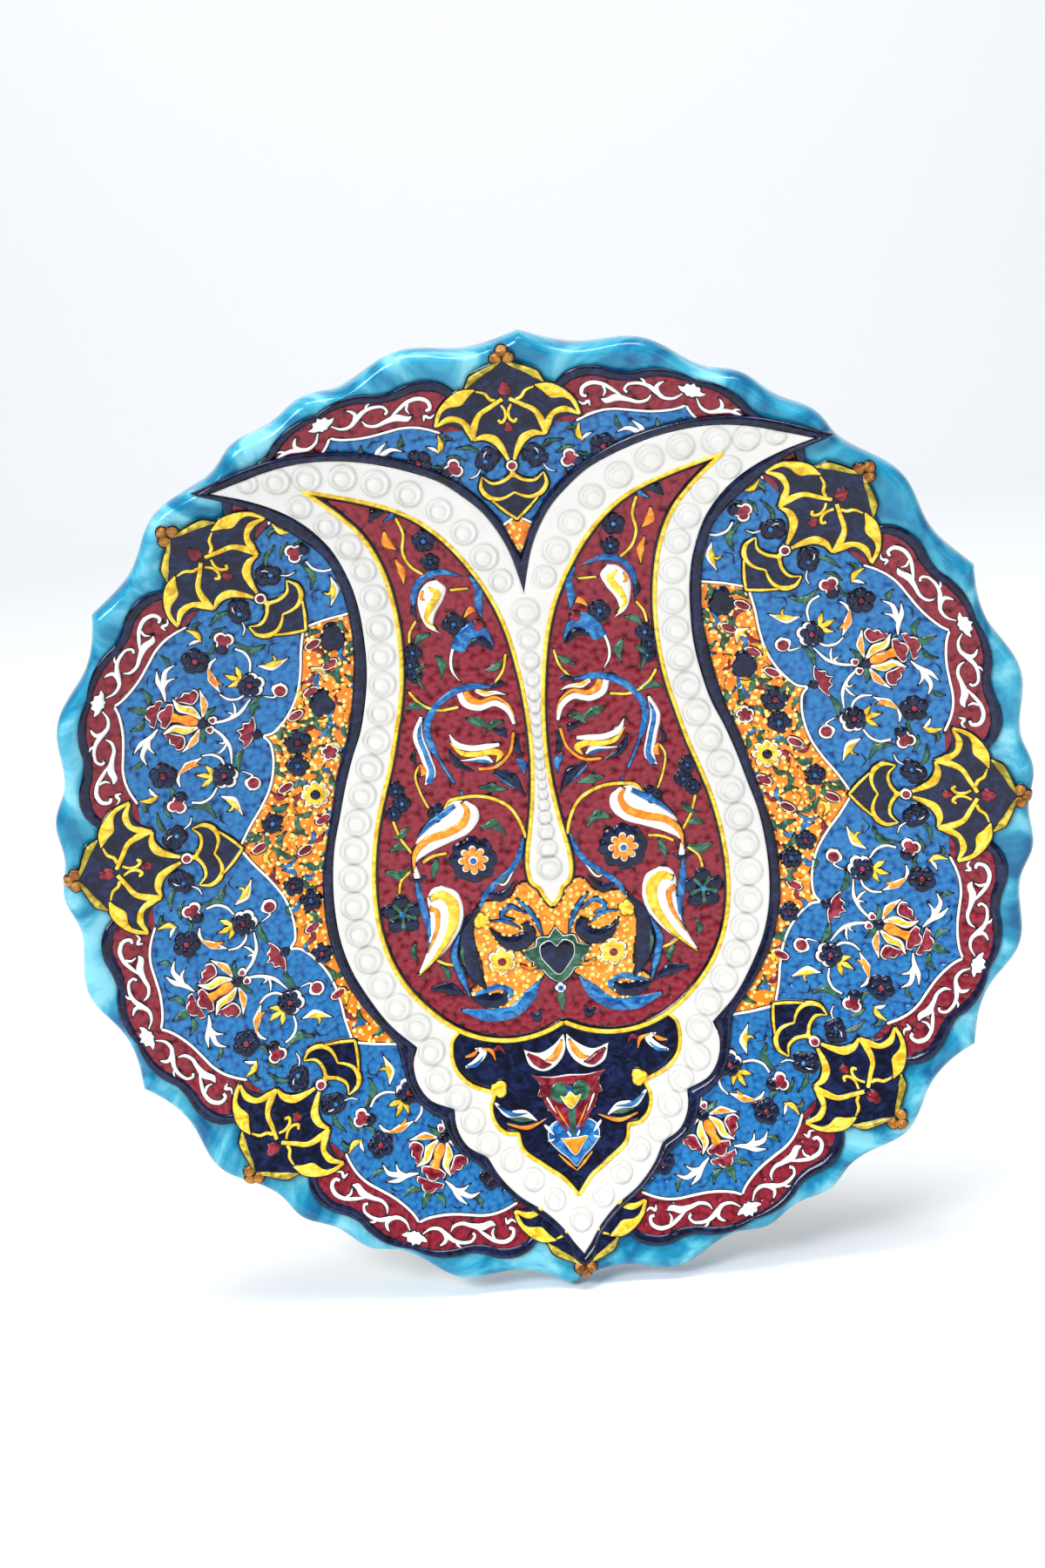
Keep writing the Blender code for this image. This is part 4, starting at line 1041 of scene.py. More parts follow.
# ---------------------------------------------------------------------------------------------
# The tulip's outline: a thick cord of navy glaze, the plate's highest relief, brushed along its
# length. Inside it runs the broad white band with its row of pressed pearls.
# ---------------------------------------------------------------------------------------------
EDGE_RISE = 0.003 / UNIT
BAND_RISE = 0.0024 / UNIT
BAND_ROLL, BAND_DROP = 1.4, 0.35  # how wide the band's rolled edge is, and how far it drops
FIELD_RISE = 0.0012 / UNIT
TULIP_STEM = [
    (9.3, 69.5), (6.8, 62), (4, 48), (2.4, 32), (2.3, 18), (3.4, 6), (5.2, -5), (6.6, -12), (7, -18),
    (6, -22.5), (3.8, -24.5), (2.5, -27.5), (0, -31),
]
TULIP_SIDE = [
    (9.3, 69.5), (12.5, 76.5), (16.5, 83.5), (21, 90), (26, 95.7), (32, 100.8), (38, 104.3), (45, 107.2),
    (63.5, 113.2), (63.5, 113.2), (53, 103), (48.5, 97.5), (45.2, 91), (43, 84.5), (41.2, 75), (40.4, 63),
    (41, 51), (42.6, 40.5), (45, 31), (47.7, 21), (50.8, 12), (54.2, 1), (56.7, -12), (57.6, -24),
    (57, -34.5), (54.6, -45), (50.4, -54), (43.4, -63), (34.5, -70.4),
]
TULIP_BASE = [(34.5, -70.4), (29, -73.1), (22, -75), (14, -75.3), (6, -73.6), (0, -71)]
CARTOUCHE_SIDE = [
    (34.5, -70.4), (37, -73), (37.8, -77.5), (36.8, -83), (33, -87.8), (24.8, -91.8), (24.8, -91.8),
    (26.4, -96), (25.6, -101), (22.5, -104.6), (18.3, -105.4), (18.3, -105.4), (17.6, -109.4), (10.5, -116),
    (4.5, -120.5), (0, -126),
]


def matched(line_a, line_b, spacing):
    """Both lines with as many points each between one corner and the next, so that like faces like."""
    def stretches(line):
        line = np.array(line, float)
        return np.split(line, np.flatnonzero((np.diff(line, axis=0) == 0).all(axis=1)) + 1)

    sides = ([], [])
    for pair in zip(stretches(line_a), stretches(line_b)):
        smooth = [curve(stretch, spacing) for stretch in pair]
        share = np.linspace(0, 1, max(len(line) for line in smooth))
        for side, line in zip(sides, smooth):
            side.append(read_at(line, share, np.linspace(0, 1, len(line))))
    a, b = np.concatenate(sides[0]), np.concatenate(sides[1])
    step = (np.abs(np.diff(a, axis=0)) + np.abs(np.diff(b, axis=0))).sum(axis=1)
    moved = np.concatenate([[True], step > 1e-6])
    return a[moved], b[moved]


edge = {"navy": [sheet_of(*matched(TULIP_OUTER, TULIP_INNER, 0.8), EDGE_RISE - 0.9, 0.9, 11)]}
trail("tulip_edge", both_sides(edge), True, ["tulip_edge"])

PEARLS = [
    (79, 117.5, 3), (70.5, 117.2, 3.9), (61.5, 117, 4.1), (51, 116, 4), (41.5, 113, 4.2), (32, 108.6, 4),
    (23.4, 102.4, 3.8), (16.6, 94.6, 3.9), (11.2, 86, 4.2), (6.8, 77.8, 3.6), (65, 108.4, 3.6),
    (57.6, 101.6, 3.9), (52, 94, 3.9), (48.6, 86, 3.8), (46.6, 76.6, 4.1),
]
PEARL_LINE = [
    (46, 66.6), (46.4, 57), (47.6, 45), (50.4, 32), (54.4, 21), (58, 11), (61, 0), (63.4, -13), (64.2, -26),
    (62.6, -39), (58.8, -51), (53, -61), (46.6, -69.4), (43.6, -78), (42, -87.6), (33.6, -94.4),
    (31.6, -104), (23.4, -110.8), (15.6, -118.6), (8, -126.4),
]


def pearl_rise(x, y, pearls, ring=0.55, dome=0.50, ring_at=0.84):
    """Each pearl is a ring, exp of minus the squared distance from it, round a low dome, 1 - d ** 2."""
    rise = np.zeros_like(x)
    for centre_x, centre_y, radius in pearls:
        far = np.hypot(x - centre_x, y - centre_y) / radius
        from_ring = (far - ring_at) / 0.12
        rise += ring * np.exp(-(from_ring**2)) + dome * np.clip(1 - (far / 0.70) ** 2, 0, 1)
    return rise


def pearl_places():
    """Centre and radius of each pearl: those set one by one, then the row down the side and the stem's."""
    line = curve(PEARL_LINE, 0.5)
    along = lengths(line)
    on_line = read_at(line, np.linspace(0, along[-1], 24), along)
    radii = np.interp(on_line[:, 1], (-130, -90, -20, 70), (3.3, 4.1, 4.4, 4.0))
    stem = [(0, 67.0, 4.2)]
    while stem[-1][1] > -16:
        height = stem[-1][1] - 2.1 * stem[-1][2]
        radius = float(np.interp(height, (-20, -10, 10, 40, 66), (4.2, 3.0, 1.5, 2.0, 4.0)))
        stem.append((0, height, radius))
    return PEARLS + list(zip(on_line[:, 0], on_line[:, 1], radii)) + stem + [(0, -133, 3.6)]


def band_sheet(outer, inner, pearls, on_axis=False, spacing=0.6):
    """Ruled surface with a soft roll down at both edges, or not at one that lies on the axis. The pearls'
    height is added at each point."""
    a, b = matched(outer, inner, spacing)
    columns = int(np.linalg.norm(a - b, axis=1).max() / spacing) + 2
    share = np.linspace(0, 1, columns)[None, :, None]
    flat = a[:, None] * (1 - share) + b[:, None] * share
    wide = np.linalg.norm(a - b, axis=1)[:, None]
    far_edge = 1 - share[..., 0]
    to_edge = (far_edge if on_axis else np.minimum(share[..., 0], far_edge)) * wide
    roll = np.clip(to_edge / BAND_ROLL, 0, 1)
    rise = (BAND_RISE - BAND_DROP + BAND_DROP * np.sqrt(1 - (1 - roll) ** 2)
            + pearl_rise(flat[..., 0], flat[..., 1], pearls) * roll)
    return ruled(a, b, flat, rise)


# the band's colours run from a grey, the painted shade in the grooves round the pearls, up to its cream
BAND_WHITE = ((0.28, 0.275, 0.25), (0.62, 0.615, 0.585), (0.74, 0.735, 0.71))
GLAZES["cream"] = brushed_glaze("band_cream", BAND_WHITE, 60, 0.09, 0.70)
SLOTS["cream"] = "cream_glaze"
pearls = pearl_places()
band = {"cream": [band_sheet([(0, 73), (0, 20), (0, -31)], TULIP_STEM, pearls, True),
                  band_sheet(TULIP_INNER, TULIP_SIDE + CARTOUCHE_SIDE, pearls)]}
white_band = trail("tulip_band", both_sides(band), True, ["tulip_band"])[0]
places = np.empty(len(white_band.data.vertices) * 3, np.float32)
white_band.data.vertices.foreach_get("co", places)
plan_x = places[0::3] / UNIT
plan_y = (places[2::3] - CENTRE_HEIGHT) / UNIT
# the band's cream is darkened in a ring round each pearl and in a crescent to one side of it: painted shade
# in the grooves and on one side, partly the glaze pooling there
pooling_and_painted_shade = (0.80 - pearl_rise(np.abs(plan_x), plan_y, pearls, 0.36, 0, 1.04)
          - pearl_rise(np.abs(plan_x) - 0.5, plan_y + 0.6, pearls, 0.30, 0, 0.60))
dab_heights(white_band, np.clip(pooling_and_painted_shade, 0, 1))

# ---------------------------------------------------------------------------------------------
# The tulip's field: crimson dabs inside a raised yellow line, and on them yellow vines, blue
# arabesques, green leaves and navy blossoms, painted the same to both sides of the stem.
# ---------------------------------------------------------------------------------------------
def leaf(marks, colour, path, width, shares, height, lift, ink=INK):
    """A stroke that tapers. The shares of its width are for its start, the points between and its end."""
    start, between, end = (share * width for share in shares)
    stroke(marks, colour, path, [start] + [between] * (len(path) - 2) + [end], height, lift, ink)


FIELD = np.concatenate([curve(TULIP_STEM)[::-1], curve(TULIP_SIDE + TULIP_BASE)])
FIELD_OUTLINE = np.concatenate([FIELD, (FIELD * (-1, 1))[::-1]])[::3]
HEART = [
    (0, -28), (6, -22.5), (10.6, -22.4), (14, -26.8), (19, -27.4), (24.4, -28), (26.2, -34), (27, -41),
    (25.5, -47), (25.2, -54), (30, -58.7), (27.5, -62.5), (21, -65.8), (15, -65), (10.7, -61.8),
    (6.5, -56.8), (3, -53), (0, -52),
]
HEART_SIDE = curve(HEART, 1.5)
HEART_OUTLINE = np.concatenate([HEART_SIDE, (HEART_SIDE * (-1, 1))[::-1]])
ON_FIELD = FIELD_RISE + 0.12
HIGH = ON_FIELD + 0.4


def in_field(x, y):
    return inside(FIELD_OUTLINE, x, y) & ~inside(HEART_OUTLINE * 0.99, x, y)


# the field's crimson is darker in the gaps between the dabs and lighter on their tops: painted shade and
# painted highlight
dabbed_ground("field_ground", brushed_glaze("field_crimson", CRIMSON, 260, 0.09, 0.55),
              in_field, FIELD_RISE, 2.1, DABS * 1.2, ["tulip_field"], 0.5, 116)
outline = {}
stroke(outline, "yellow", TULIP_STEM[::-1] + TULIP_SIDE[1:] + TULIP_BASE[1:], 1.5, 0.9, BAND_RISE - 0.5,
       0.75, 7)
trail("tulip_line", both_sides(outline), True, ["tulip_line"])

VINES = (
    ("yellow", 1.1, (37, 101.5), (35.4, 96), (36.2, 90), (34.4, 85.4), (30.6, 82)),
    ("yellow", 1, (23.2, 76.2), (17, 76.2)),
    ("yellow", 1, (34.6, 67.4), (37, 63.6), (37.6, 60)),
    ("yellow", 1, (7.6, 54), (9, 48.6), (12, 44.6)),
    ("yellow", 1.1, (39.6, 44.6), (36, 40), (31, 37.6), (24, 38)),
    ("yellow", 0.9, (38.6, 20), (40, 17.6), (39.2, 11), (37, 5.4)),
    ("yellow", 1.3, (32, 4.2), (30.6, 6.8), (25, 8.2), (17, 7.2), (11, 3.4), (8, -2.2), (6.6, -7.4)),
    ("yellow", 1.1, (49, 2.4), (47, -4), (43.4, -10)),
    ("yellow", 1.1, (41, -12.6), (37, -10.6), (32.6, -10)),
    ("yellow", 1.1, (45, -15), (48.4, -18), (49.6, -22.6)),
    ("yellow", 1.1, (40, -46), (37, -47.8), (34, -48.6)),
    ("orange", 1.2, (20, 17), (14, 17.4), (9.4, 21.4), (7.4, 28.4)),
    ("blue", 1, (34.6, 30), (33, 24), (30.6, 18.4), (28, 13)),
    ("blue", 0.9, (26.4, 10.4), (25.4, 8.8)),
)
LEAVES = (
    ("navy", 3.4, (40.4, 103.6), (43.2, 103.2), (45, 101.2)),
    ("blue", 1.6, (40.6, 100.6), (38, 102.4), (37.2, 104)),
    ("orange", 3, (41, 97.4), (40.6, 93.6), (38, 91.2)),
    ("orange", 2.4, (38.6, 88), (37.2, 84), (37, 79.6)),
    ("blue", 2, (34.8, 71), (34.4, 76), (31.6, 80.4), (25.6, 82.4), (19, 80.4)),
    ("navy", 2.2, (34.4, 74), (35, 70.4), (34.4, 68.6)),
    ("blue", 2.4, (16.4, 80), (14.2, 76), (14.6, 70), (14, 66.4)),
    ("orange", 2.2, (19.4, 67), (17, 69), (15.6, 68.4)),
    ("green", 2.6, (31, 62.4), (34, 61.6), (36.2, 59)),
    ("green", 2.6, (33.6, 52.6), (36.4, 50.4), (34.6, 44.8)),
    ("green", 2.8, (29.6, 55), (28, 52.6), (28.6, 48)),
    ("green", 2.4, (13.8, 48.8), (11, 50), (8.6, 51.8)),
    ("white", 0.9, (17.6, 58), (21.4, 60.4), (24.4, 56), (25, 50), (22.6, 45.8)),
    ("blue", 2.2, (13, 43.6), (19, 44.2), (26, 42.6), (32, 38), (35, 32), (33.6, 25), (31.6, 21)),
    ("navy", 2.4, (13.4, 43.4), (10.4, 44.6), (9, 44.2)),
    ("green", 2.8, (34.6, 38.6), (37.6, 39.8), (41, 38.6)),
    ("white", 3.2, (36.4, 36), (38, 30), (36.4, 23), (35.4, 16.4), (37.4, 13.4)),
    ("orange", 2.4, (38.4, 20.4), (37.2, 18), (38.4, 16.4)),
    ("navy", 1.8, (39.4, 25), (40.4, 22.4), (39.6, 20.6)),
    ("navy", 2.6, (28.6, 24), (26.4, 19.6), (21.6, 16.6)),
    ("green", 3.4, (22, 33.8), (18.6, 32.6), (14, 30.4)),
    ("green", 2.8, (10.6, 32), (13.6, 31.4), (16, 29)),
    ("navy", 3.4, (13.6, 29.4), (11, 28.4), (10, 27)),
    ("navy", 3.6, (14.4, 16), (9.4, 13), (5.8, 7)),
    ("navy", 2.6, (6.2, 27), (7, 23), (5.4, 20)),
    ("blue", 2.8, (7.4, 19.4), (5.6, 17.4), (5.4, 14)),
    ("blue", 1, (15, 15), (12, 12.4), (8, 9.2)),
    ("green", 3, (19.8, 11), (16, 10.4), (11.4, 9.6)),
    ("green", 3.6, (20.6, -2.6), (17, -1.8), (13.2, -5.2)),
    ("green", 3.4, (53, -14.6), (49, -16), (45.4, -14.2)),
    ("green", 2.8, (36, -11.8), (37, -14.4), (38, -18)),
    ("green", 2.6, (44.6, -0.4), (46.6, -2.6), (49, -3.6)),
    ("green", 2.6, (45.2, -7.4), (48.6, -6.6), (51, -7.8)),
    ("blue", 2.2, (43.6, -17.6), (43, -24), (41.8, -31), (40.6, -37), (42.6, -43.6)),
    ("blue", 1.6, (40.4, -31), (38.2, -33.4), (39.8, -36.6)),
    ("navy", 2.6, (45.6, -17.6), (42.6, -18.2), (40.6, -17.2)),
    ("blue", 1.9, (7.6, -7), (9, -12), (12, -17), (17, -21), (22, -26), (24.6, -31)),
    ("white", 0.7, (9.6, -12), (12, -18), (15.8, -22.4), (18, -21)),
    ("green", 1.8, (18, -21.6), (15.6, -20.8), (13.8, -17.6)),
    ("navy", 3.8, (21.4, -24.4), (17, -26.4), (12.4, -22)),
    ("navy", 4.4, (42, -55.6), (36, -56.6), (31.6, -59)),
    ("green", 2, (46, -40), (47.4, -42.8), (46, -45.6)),
    ("green", 2.2, (38.6, -48.4), (36.4, -51.2), (37, -54)),
    ("blue", 4.2, (33, -64), (25, -66.6), (16, -66), (10, -61), (6.4, -56)),
    ("blue", 2, (29, -59.4), (25, -58.4), (20, -57.4), (16.4, -60), (18, -62.6)),
    ("navy", 5, (29.6, -60), (25, -61.6), (20, -61.6), (17.4, -58.8)),
    ("navy", 3.4, (10.4, -67.6), (8.6, -69), (7.4, -66.6)),
)
vines = {}
for colour, width, *path in VINES:
    stroke(vines, colour, path, width, lift=ON_FIELD)
for colour, width, *path in LEAVES:
    leaf(vines, colour, path, width, (0.3, 1.2, 0.1), 0.65, ON_FIELD)
stroke(vines, "blue", [(36.2, 35.6), (37.6, 30), (36, 23), (35, 16.6), (36.2, 14)], (0.3, 2, 2, 2.4, 2.6),
       ink=0, lift=ON_FIELD + 0.25)
patch(vines, "blue", [(24.8, 57), (22, 62.6), (17, 65.4), (12.6, 62), (10.8, 56)],
      [(24.8, 57), (20.4, 55.4), (18.6, 58.4), (14.6, 60), (10.8, 56)], 0.7, ON_FIELD)
stroke(vines, "navy", [(19, 57.6), (15.6, 59), (12, 55.8)], (0.6, 3, 0.3), lift=HIGH - 0.1)
bead(vines, "crimson", (15.4, 63.8), 1.9, lift=HIGH - 0.1)
for x, y, radius, petals in (
    (29.4, 93, 3.7, 5), (28, 86, 2.9, 5), (23, 65, 3.7, 4), (36.8, 57, 3.1, 4), (38, 53, 2.9, 4),
    (37, 49.4, 2.5, 4), (47, 12.4, 2.8, 4), (45.4, 8, 3.0, 4), (48.4, 4.8, 2.6, 4), (34.4, 3.4, 3.3, 4),
):
    rosette(vines, (x, y), radius, petals, ON_FIELD, "blue")
blossom(vines, "navy", (24.4, -13), 8.2, 8, 0.14, height=0.8, lift=ON_FIELD)
blossom(vines, "white", (24.4, -13), 5.4, 8, 0.42, lift=ON_FIELD + 0.5)
blossom(vines, "orange", (24.4, -13), 4.9, 8, 0.46, ink=0, lift=ON_FIELD + 0.7)
bead(vines, "white", (24.4, -13), 1.7, lift=ON_FIELD + 1.1)
bead(vines, "blue", (24.4, -13), 1.2, lift=ON_FIELD + 1.4, ink=0)
x, y = 49.2, -29.6
for number in range(5):
    angle = 2 * pi * number / 5
    bead(vines, "navy", (x + 4.4 * np.sin(angle), y + 4.4 * np.cos(angle)), 2.5, lift=ON_FIELD)
    angle += 0.6
    stroke(vines, "green", [(x, y), (x + 4.6 * np.sin(angle), y + 4.6 * np.cos(angle))], (1.0, 2.0),
           lift=ON_FIELD + 0.1)
bead(vines, "blue", (x, y), 1.2, lift=HIGH)
trail("field_vine", both_sides(vines), True)

# ---------------------------------------------------------------------------------------------
# Ten comma leaves, five to each side of the stem: white curls, each with two or three stripes of
# orange, yellow and blue that follow the curl.
# ---------------------------------------------------------------------------------------------
commas = {}
patch(commas, "white", [(27.7, 62.5), (29.2, 65.5), (28.6, 68.2), (25.3, 73.3), (24, 76.8), (26.7, 80)],
      [(27.7, 62.5), (31.4, 64.8), (33.4, 70), (33.6, 74), (32, 77.6), (29.5, 79.6), (26.7, 80)], 1,
      ON_FIELD)
stroke(commas, "yellow", [(28.6, 64), (31.2, 67.6), (29.6, 71.6), (27.4, 76), (29.6, 78)],
       (0.4, 2, 3.6, 3.8, 1), height=0.5, lift=HIGH + 0.2, ink=0.35)
stroke(commas, "orange", [(30.4, 73.6), (32, 74.6), (31.4, 76.8)], (0.3, 1.7, 0.8), height=0.5,
       lift=HIGH + 0.2, ink=0.2)
stroke(commas, "white", [(23.4, 42.6), (22, 39), (18, 37.2), (12.4, 38.2), (8.6, 35.6), (7, 31)],
       (2.4, 2.6, 2.4, 2.3, 2.2, 1.2), height=0.9, lift=ON_FIELD)
stroke(commas, "orange", [(21.6, 43), (20.4, 40.4), (17.2, 39), (12.4, 40.1), (8.4, 37.4), (6.6, 33.2)],
       (2.2, 2.6, 1.7, 1.2, 0.9, 0.4), height=0.8, lift=ON_FIELD + 0.15, ink=0.25)
stroke(commas, "white", [(18.2, 43), (15.6, 41.6), (11.6, 41.6), (8.8, 40.6)], (1.6, 2.2, 1.3, 0.2),
       height=0.8, lift=ON_FIELD)
stroke(commas, "yellow", [(18.4, 43.2), (15.4, 42), (11.8, 41.6)], (0.5, 1.1, 0.2), height=0.4,
       lift=HIGH + 0.3, ink=0)
stroke(commas, "white", [(28, 29.4), (26.2, 26), (22, 24.2), (16.4, 24.2), (12.4, 24.6)],
       (0.3, 2.2, 2.2, 2.2, 1.2), height=0.9, lift=ON_FIELD)
stroke(commas, "yellow", [(28, 26.6), (24.6, 22.8), (19.6, 22), (15, 22.4), (12.4, 21.4), (14, 18.8)],
       (0.4, 1.8, 2, 2.4, 2.4, 0.3), height=0.8, lift=ON_FIELD + 0.1, ink=0.25)
stroke(commas, "white", [(25.2, 20.4), (21, 20.4), (17, 20.4), (15, 19)], (0.3, 1.2, 2.4, 0.6), height=0.8,
       lift=ON_FIELD)
stroke(commas, "blue", [(22.6, 20), (19.4, 20), (16, 19.2)], (0.3, 1.2, 1.2), height=0.4, lift=HIGH + 0.3,
       ink=0)
patch(commas, "white",
      [(42, -17.4), (42.6, -12), (39, -9.8), (31, -6.6), (24.6, -4), (21, 0.6), (21.4, 4.2), (24.4, 6.8)],
      [(44.2, -17.4), (44.4, -11), (41.4, -3.6), (36.6, 1), (33, 4.6), (29, 7.4), (26.4, 7.2), (24.4, 6.8)],
      1.1, ON_FIELD)
stroke(commas, "orange", [(43.9, -15), (42.8, -9), (39, -5.2), (31.6, -2.8), (26.4, 0), (24.8, 4),
       (26.2, 6.6)], (0.4, 2.2, 3, 3.6, 3.4, 2.4, 1.2), height=0.55, lift=HIGH + 0.5, ink=0.4)
stroke(commas, "blue", [(41.4, -3.4), (37, 0.6), (32.4, 3.4), (28.6, 5.8)], (0.4, 2, 2.6, 2.2), height=0.6,
       lift=HIGH + 0.2, ink=0.25)
patch(commas, "white",
      [(46.6, -51), (40, -46.6), (34, -41), (30, -35), (29, -28.6), (30.6, -23.6), (35.6, -20.8)],
      [(46.6, -51), (42.8, -43), (41.4, -36), (40.6, -30), (40.8, -24.6), (39, -21.8), (35.6, -20.8)],
      1.1, ON_FIELD)
stroke(commas, "yellow", [(45.8, -50.4), (40, -45), (35.6, -39), (32.8, -32.6), (33, -26.6), (36, -23.6),
       (39.4, -25)], (0.4, 1.6, 3, 4.2, 4.6, 4, 1.6), height=0.55, lift=HIGH + 0.5, ink=0.4)
stroke(commas, "orange", [(42.4, -43), (39.6, -38), (38, -33), (38.2, -29), (40, -28)],
       (0.3, 1.4, 2, 2.4, 1.8), height=0.55, lift=HIGH + 0.5, ink=0.25)
trail("comma_leaf", both_sides(commas), True,
      [f"comma_leaf_{side}_{number}" for side in ("left", "right") for number in range(1, 6)])

# ---------------------------------------------------------------------------------------------
# The heart at the stem's foot: a dotted gold ground with a green palmette on the axis, blue
# scrolls, navy commas and two yellow daisies.
# ---------------------------------------------------------------------------------------------
def in_heart(x, y):
    return inside(HEART_OUTLINE, x, y) & inside(FIELD_OUTLINE, x, y)


dabbed_ground("heart_ground", GLAZES["orange"], in_heart, FIELD_RISE + 0.1, GOLD_DAB, GOLD_DABS,
              ["gold_heart"], 0.6, 68)
hearts = {}
two_tone(hearts, "yellow", (18.4, -48.6), (5.0, 4.4), 6, (0.28, 0.3), ON_FIELD, 0.25)
bead(hearts, "crimson", (18.4, -48.6), 1.6, lift=HIGH + 0.2)
blossom(hearts, "yellow", (24, -34), 3.0, 5, 0.28, lift=ON_FIELD)
for colour, width, *path in (
    ("blue", 1.8, (11.6, -27.6), (8.4, -31.4), (5.8, -36), (4.4, -40.6)),
    ("blue", 1.6, (9.4, -32.6), (14.6, -30), (17, -33), (13.4, -34.6)),
    ("blue", 1.3, (20.6, -34.4), (16, -34.8), (11.4, -37.8)),
    ("blue", 2.6, (31.4, -38), (33.8, -45), (32, -53), (30, -59.6)),
    ("green", 2.4, (30.6, -40.6), (31, -45.6), (30, -51)),
    ("orange", 1.6, (12.4, -50.4), (9, -52), (6.6, -51)),
):
    leaf(hearts, colour, path, width, (0.25, 1, 0.1), 0.7, ON_FIELD + 0.35)
stroke(hearts, "navy", [(9.8, -36.2), (8.6, -39.4), (11.2, -42.2), (15.4, -42.4), (19, -40), (21, -37)],
       (2.4, 4.8, 6.8, 5.6, 2.6, 0.3), height=0.7, lift=ON_FIELD + 0.35)
stroke(hearts, "navy", [(24.4, -29.4), (28.2, -35), (29.2, -43), (28, -51), (24.4, -58)],
       (0.6, 4, 6.2, 5.4, 0.5), height=0.8, lift=ON_FIELD + 0.35)
hearts = both_sides(hearts)
PALM_HALF = [
    (0, -38), (2.4, -41.4), (2.4, -41.4), (6.4, -41.6), (7.2, -44.4), (7.2, -44.4), (12, -45.8),
    (12, -45.8), (9.8, -49.2), (8.4, -50), (8.4, -50), (8.8, -52.6), (5.4, -53.2), (5.4, -53.2),
    (3.6, -55.8), (0, -58),
]
edged(hearts, "green", (0, -47), whole(PALM_HALF), lift=ON_FIELD + 0.1)
PALM_HEART = [(0, -44.8), (2.4, -42.6), (5.4, -43.8), (5.8, -47.6), (3.4, -51.6), (0, -55)]
edged(hearts, "navy", (0, -48), whole(PALM_HEART), lift=HIGH + 0.2)
blossom(hearts, "white", (0, -59.6), 2.0, 4, 0.3, lift=ON_FIELD)
bead(hearts, "blue", (0, -59.6), 1.0, lift=HIGH)
stroke(hearts, "green", [(0, -61), (0, -64), (0, -67.6)], (2.6, 3, 0.2), lift=ON_FIELD)


def heart_covers(x, y):
    return in_heart(x, y) & (np.hypot(x, y + 47) > 9)


drops(hearts, "butter", scattered(heart_covers, 2.3, (-31, -67), (31, -22)), FIELD_RISE + 0.08)
for side in (1, -1):
    stroke(hearts, "black", [(side * x, y) for x, y in HEART[1:-1]], 0.5, 0.3, FIELD_RISE + 0.1, 0)
trail("heart", hearts, True)

# ---------------------------------------------------------------------------------------------
# The navy cartouche under the field: a yellow line round it, and on the axis a crimson vase with
# a green heart and an orange point, between curled leaves.
# ---------------------------------------------------------------------------------------------
ON_NAVY = FIELD_RISE + 0.2
cartouche = np.concatenate([curve(TULIP_BASE[::-1], 1.0), curve(CARTOUCHE_SIDE, 0.8)])
cartouche = np.concatenate([cartouche, (cartouche * (-1, 1))[::-1][1:-1]])
base = {}
stroke(base, "yellow", CARTOUCHE_SIDE, 1.3, 0.9, BAND_RISE - 0.5, 0.5, 7)
blossom(base, "yellow", (23.2, -90.6), 2.9, 3, 0.3, -0.6, height=1.1, lift=BAND_RISE - 0.3)
for colour, width, *path in (
    ("white", 2.8, (33.6, -82.6), (30, -81.4), (27.4, -78.2), (30, -77)),
    ("blue", 1.8, (33, -82.4), (30, -82), (27.6, -79.6)),
    ("orange", 1.6, (33.4, -79.2), (30.6, -78.6), (29, -77.2)),
    ("orange", 1.6, (27.6, -77), (24.6, -78.4), (23.6, -81.4)),
    ("crimson", 1.8, (24.6, -78.6), (22, -77.4), (20.4, -79.4)),
    ("crimson", 3.6, (12.8, -80.6), (10.4, -82.8), (8, -84.4), (5.6, -84.6)),
    ("orange", 2.6, (1.2, -77), (2.6, -80), (4.8, -82.6), (7, -83)),
    ("orange", 0.9, (5.4, -97.6), (3.2, -102), (0.6, -106)),
    ("white", 2.8, (25.2, -95), (21, -99), (15.6, -99.6), (11.8, -102)),
    ("blue", 1.8, (24.2, -96), (20, -99), (15, -99.4)),
    ("green", 1.8, (20.4, -100.6), (16.4, -101.2), (13.4, -101.6)),
    ("orange", 1.5, (21.6, -102), (15, -103.8), (8.6, -101.6)),
    ("white", 2.6, (9.4, -103.6), (6.4, -108), (8.6, -108.8)),
    ("crimson", 1.6, (9.8, -91), (7.8, -97), (3.6, -103.4), (1, -108)),
    ("orange", 1.1, (5.6, -113), (2.6, -116), (0, -118.4)),
):
    lay_on = ON_NAVY if colour == "white" else HIGH + 0.15
    leaf(base, colour, path, width, (0.3, 1, 0.15), 0.6, lay_on, 0.25)
patch(base, "white", [(0.5, -75.2), (4.6, -78.6), (8.8, -80.4), (14, -79.2)],
      [(0.5, -75.2), (0.1, -79.6), (2.8, -84.6), (7.6, -87), (12.4, -84.8), (14, -79.2)], 0.5, ON_NAVY)
edged(base, "green", (3.5, -93.6), oval((3.5, -93.6), 3.4, 3.6, 12), lift=ON_NAVY + 0.3)
base = both_sides(base)
pad(base, "navy", (0, -88), cartouche, 0.0, ON_NAVY, 0, (0.25, 0.5, 0.7, 0.85, 0.95, 1.0))
VASE_HALF = [
    (0, -88.4), (6, -88.6), (12.8, -87.4), (12.8, -87.4), (10.2, -90.8), (11.2, -94.4), (11.2, -94.4),
    (8, -96), (8.2, -99.4), (8.2, -99.4), (5, -101.4), (3, -105.4), (0, -109),
]
edged(base, "crimson", (0, -93), whole(VASE_HALF), lift=ON_NAVY)
DROP_HALF = [
    (0, -105.6), (2, -103.4), (5.4, -102.6), (8.2, -104.4), (8.8, -108), (6, -111.8), (2.6, -114.8),
    (0, -117.6),
]
edged(base, "blue", (0, -108), whole(DROP_HALF), lift=ON_NAVY)
edged(base, "orange", (0, -110),
      [(-4.6, -108), (0, -108.3), (4.6, -108), (2.6, -110.6), (0, -113.6), (-2.6, -110.6)], lift=HIGH + 0.2)
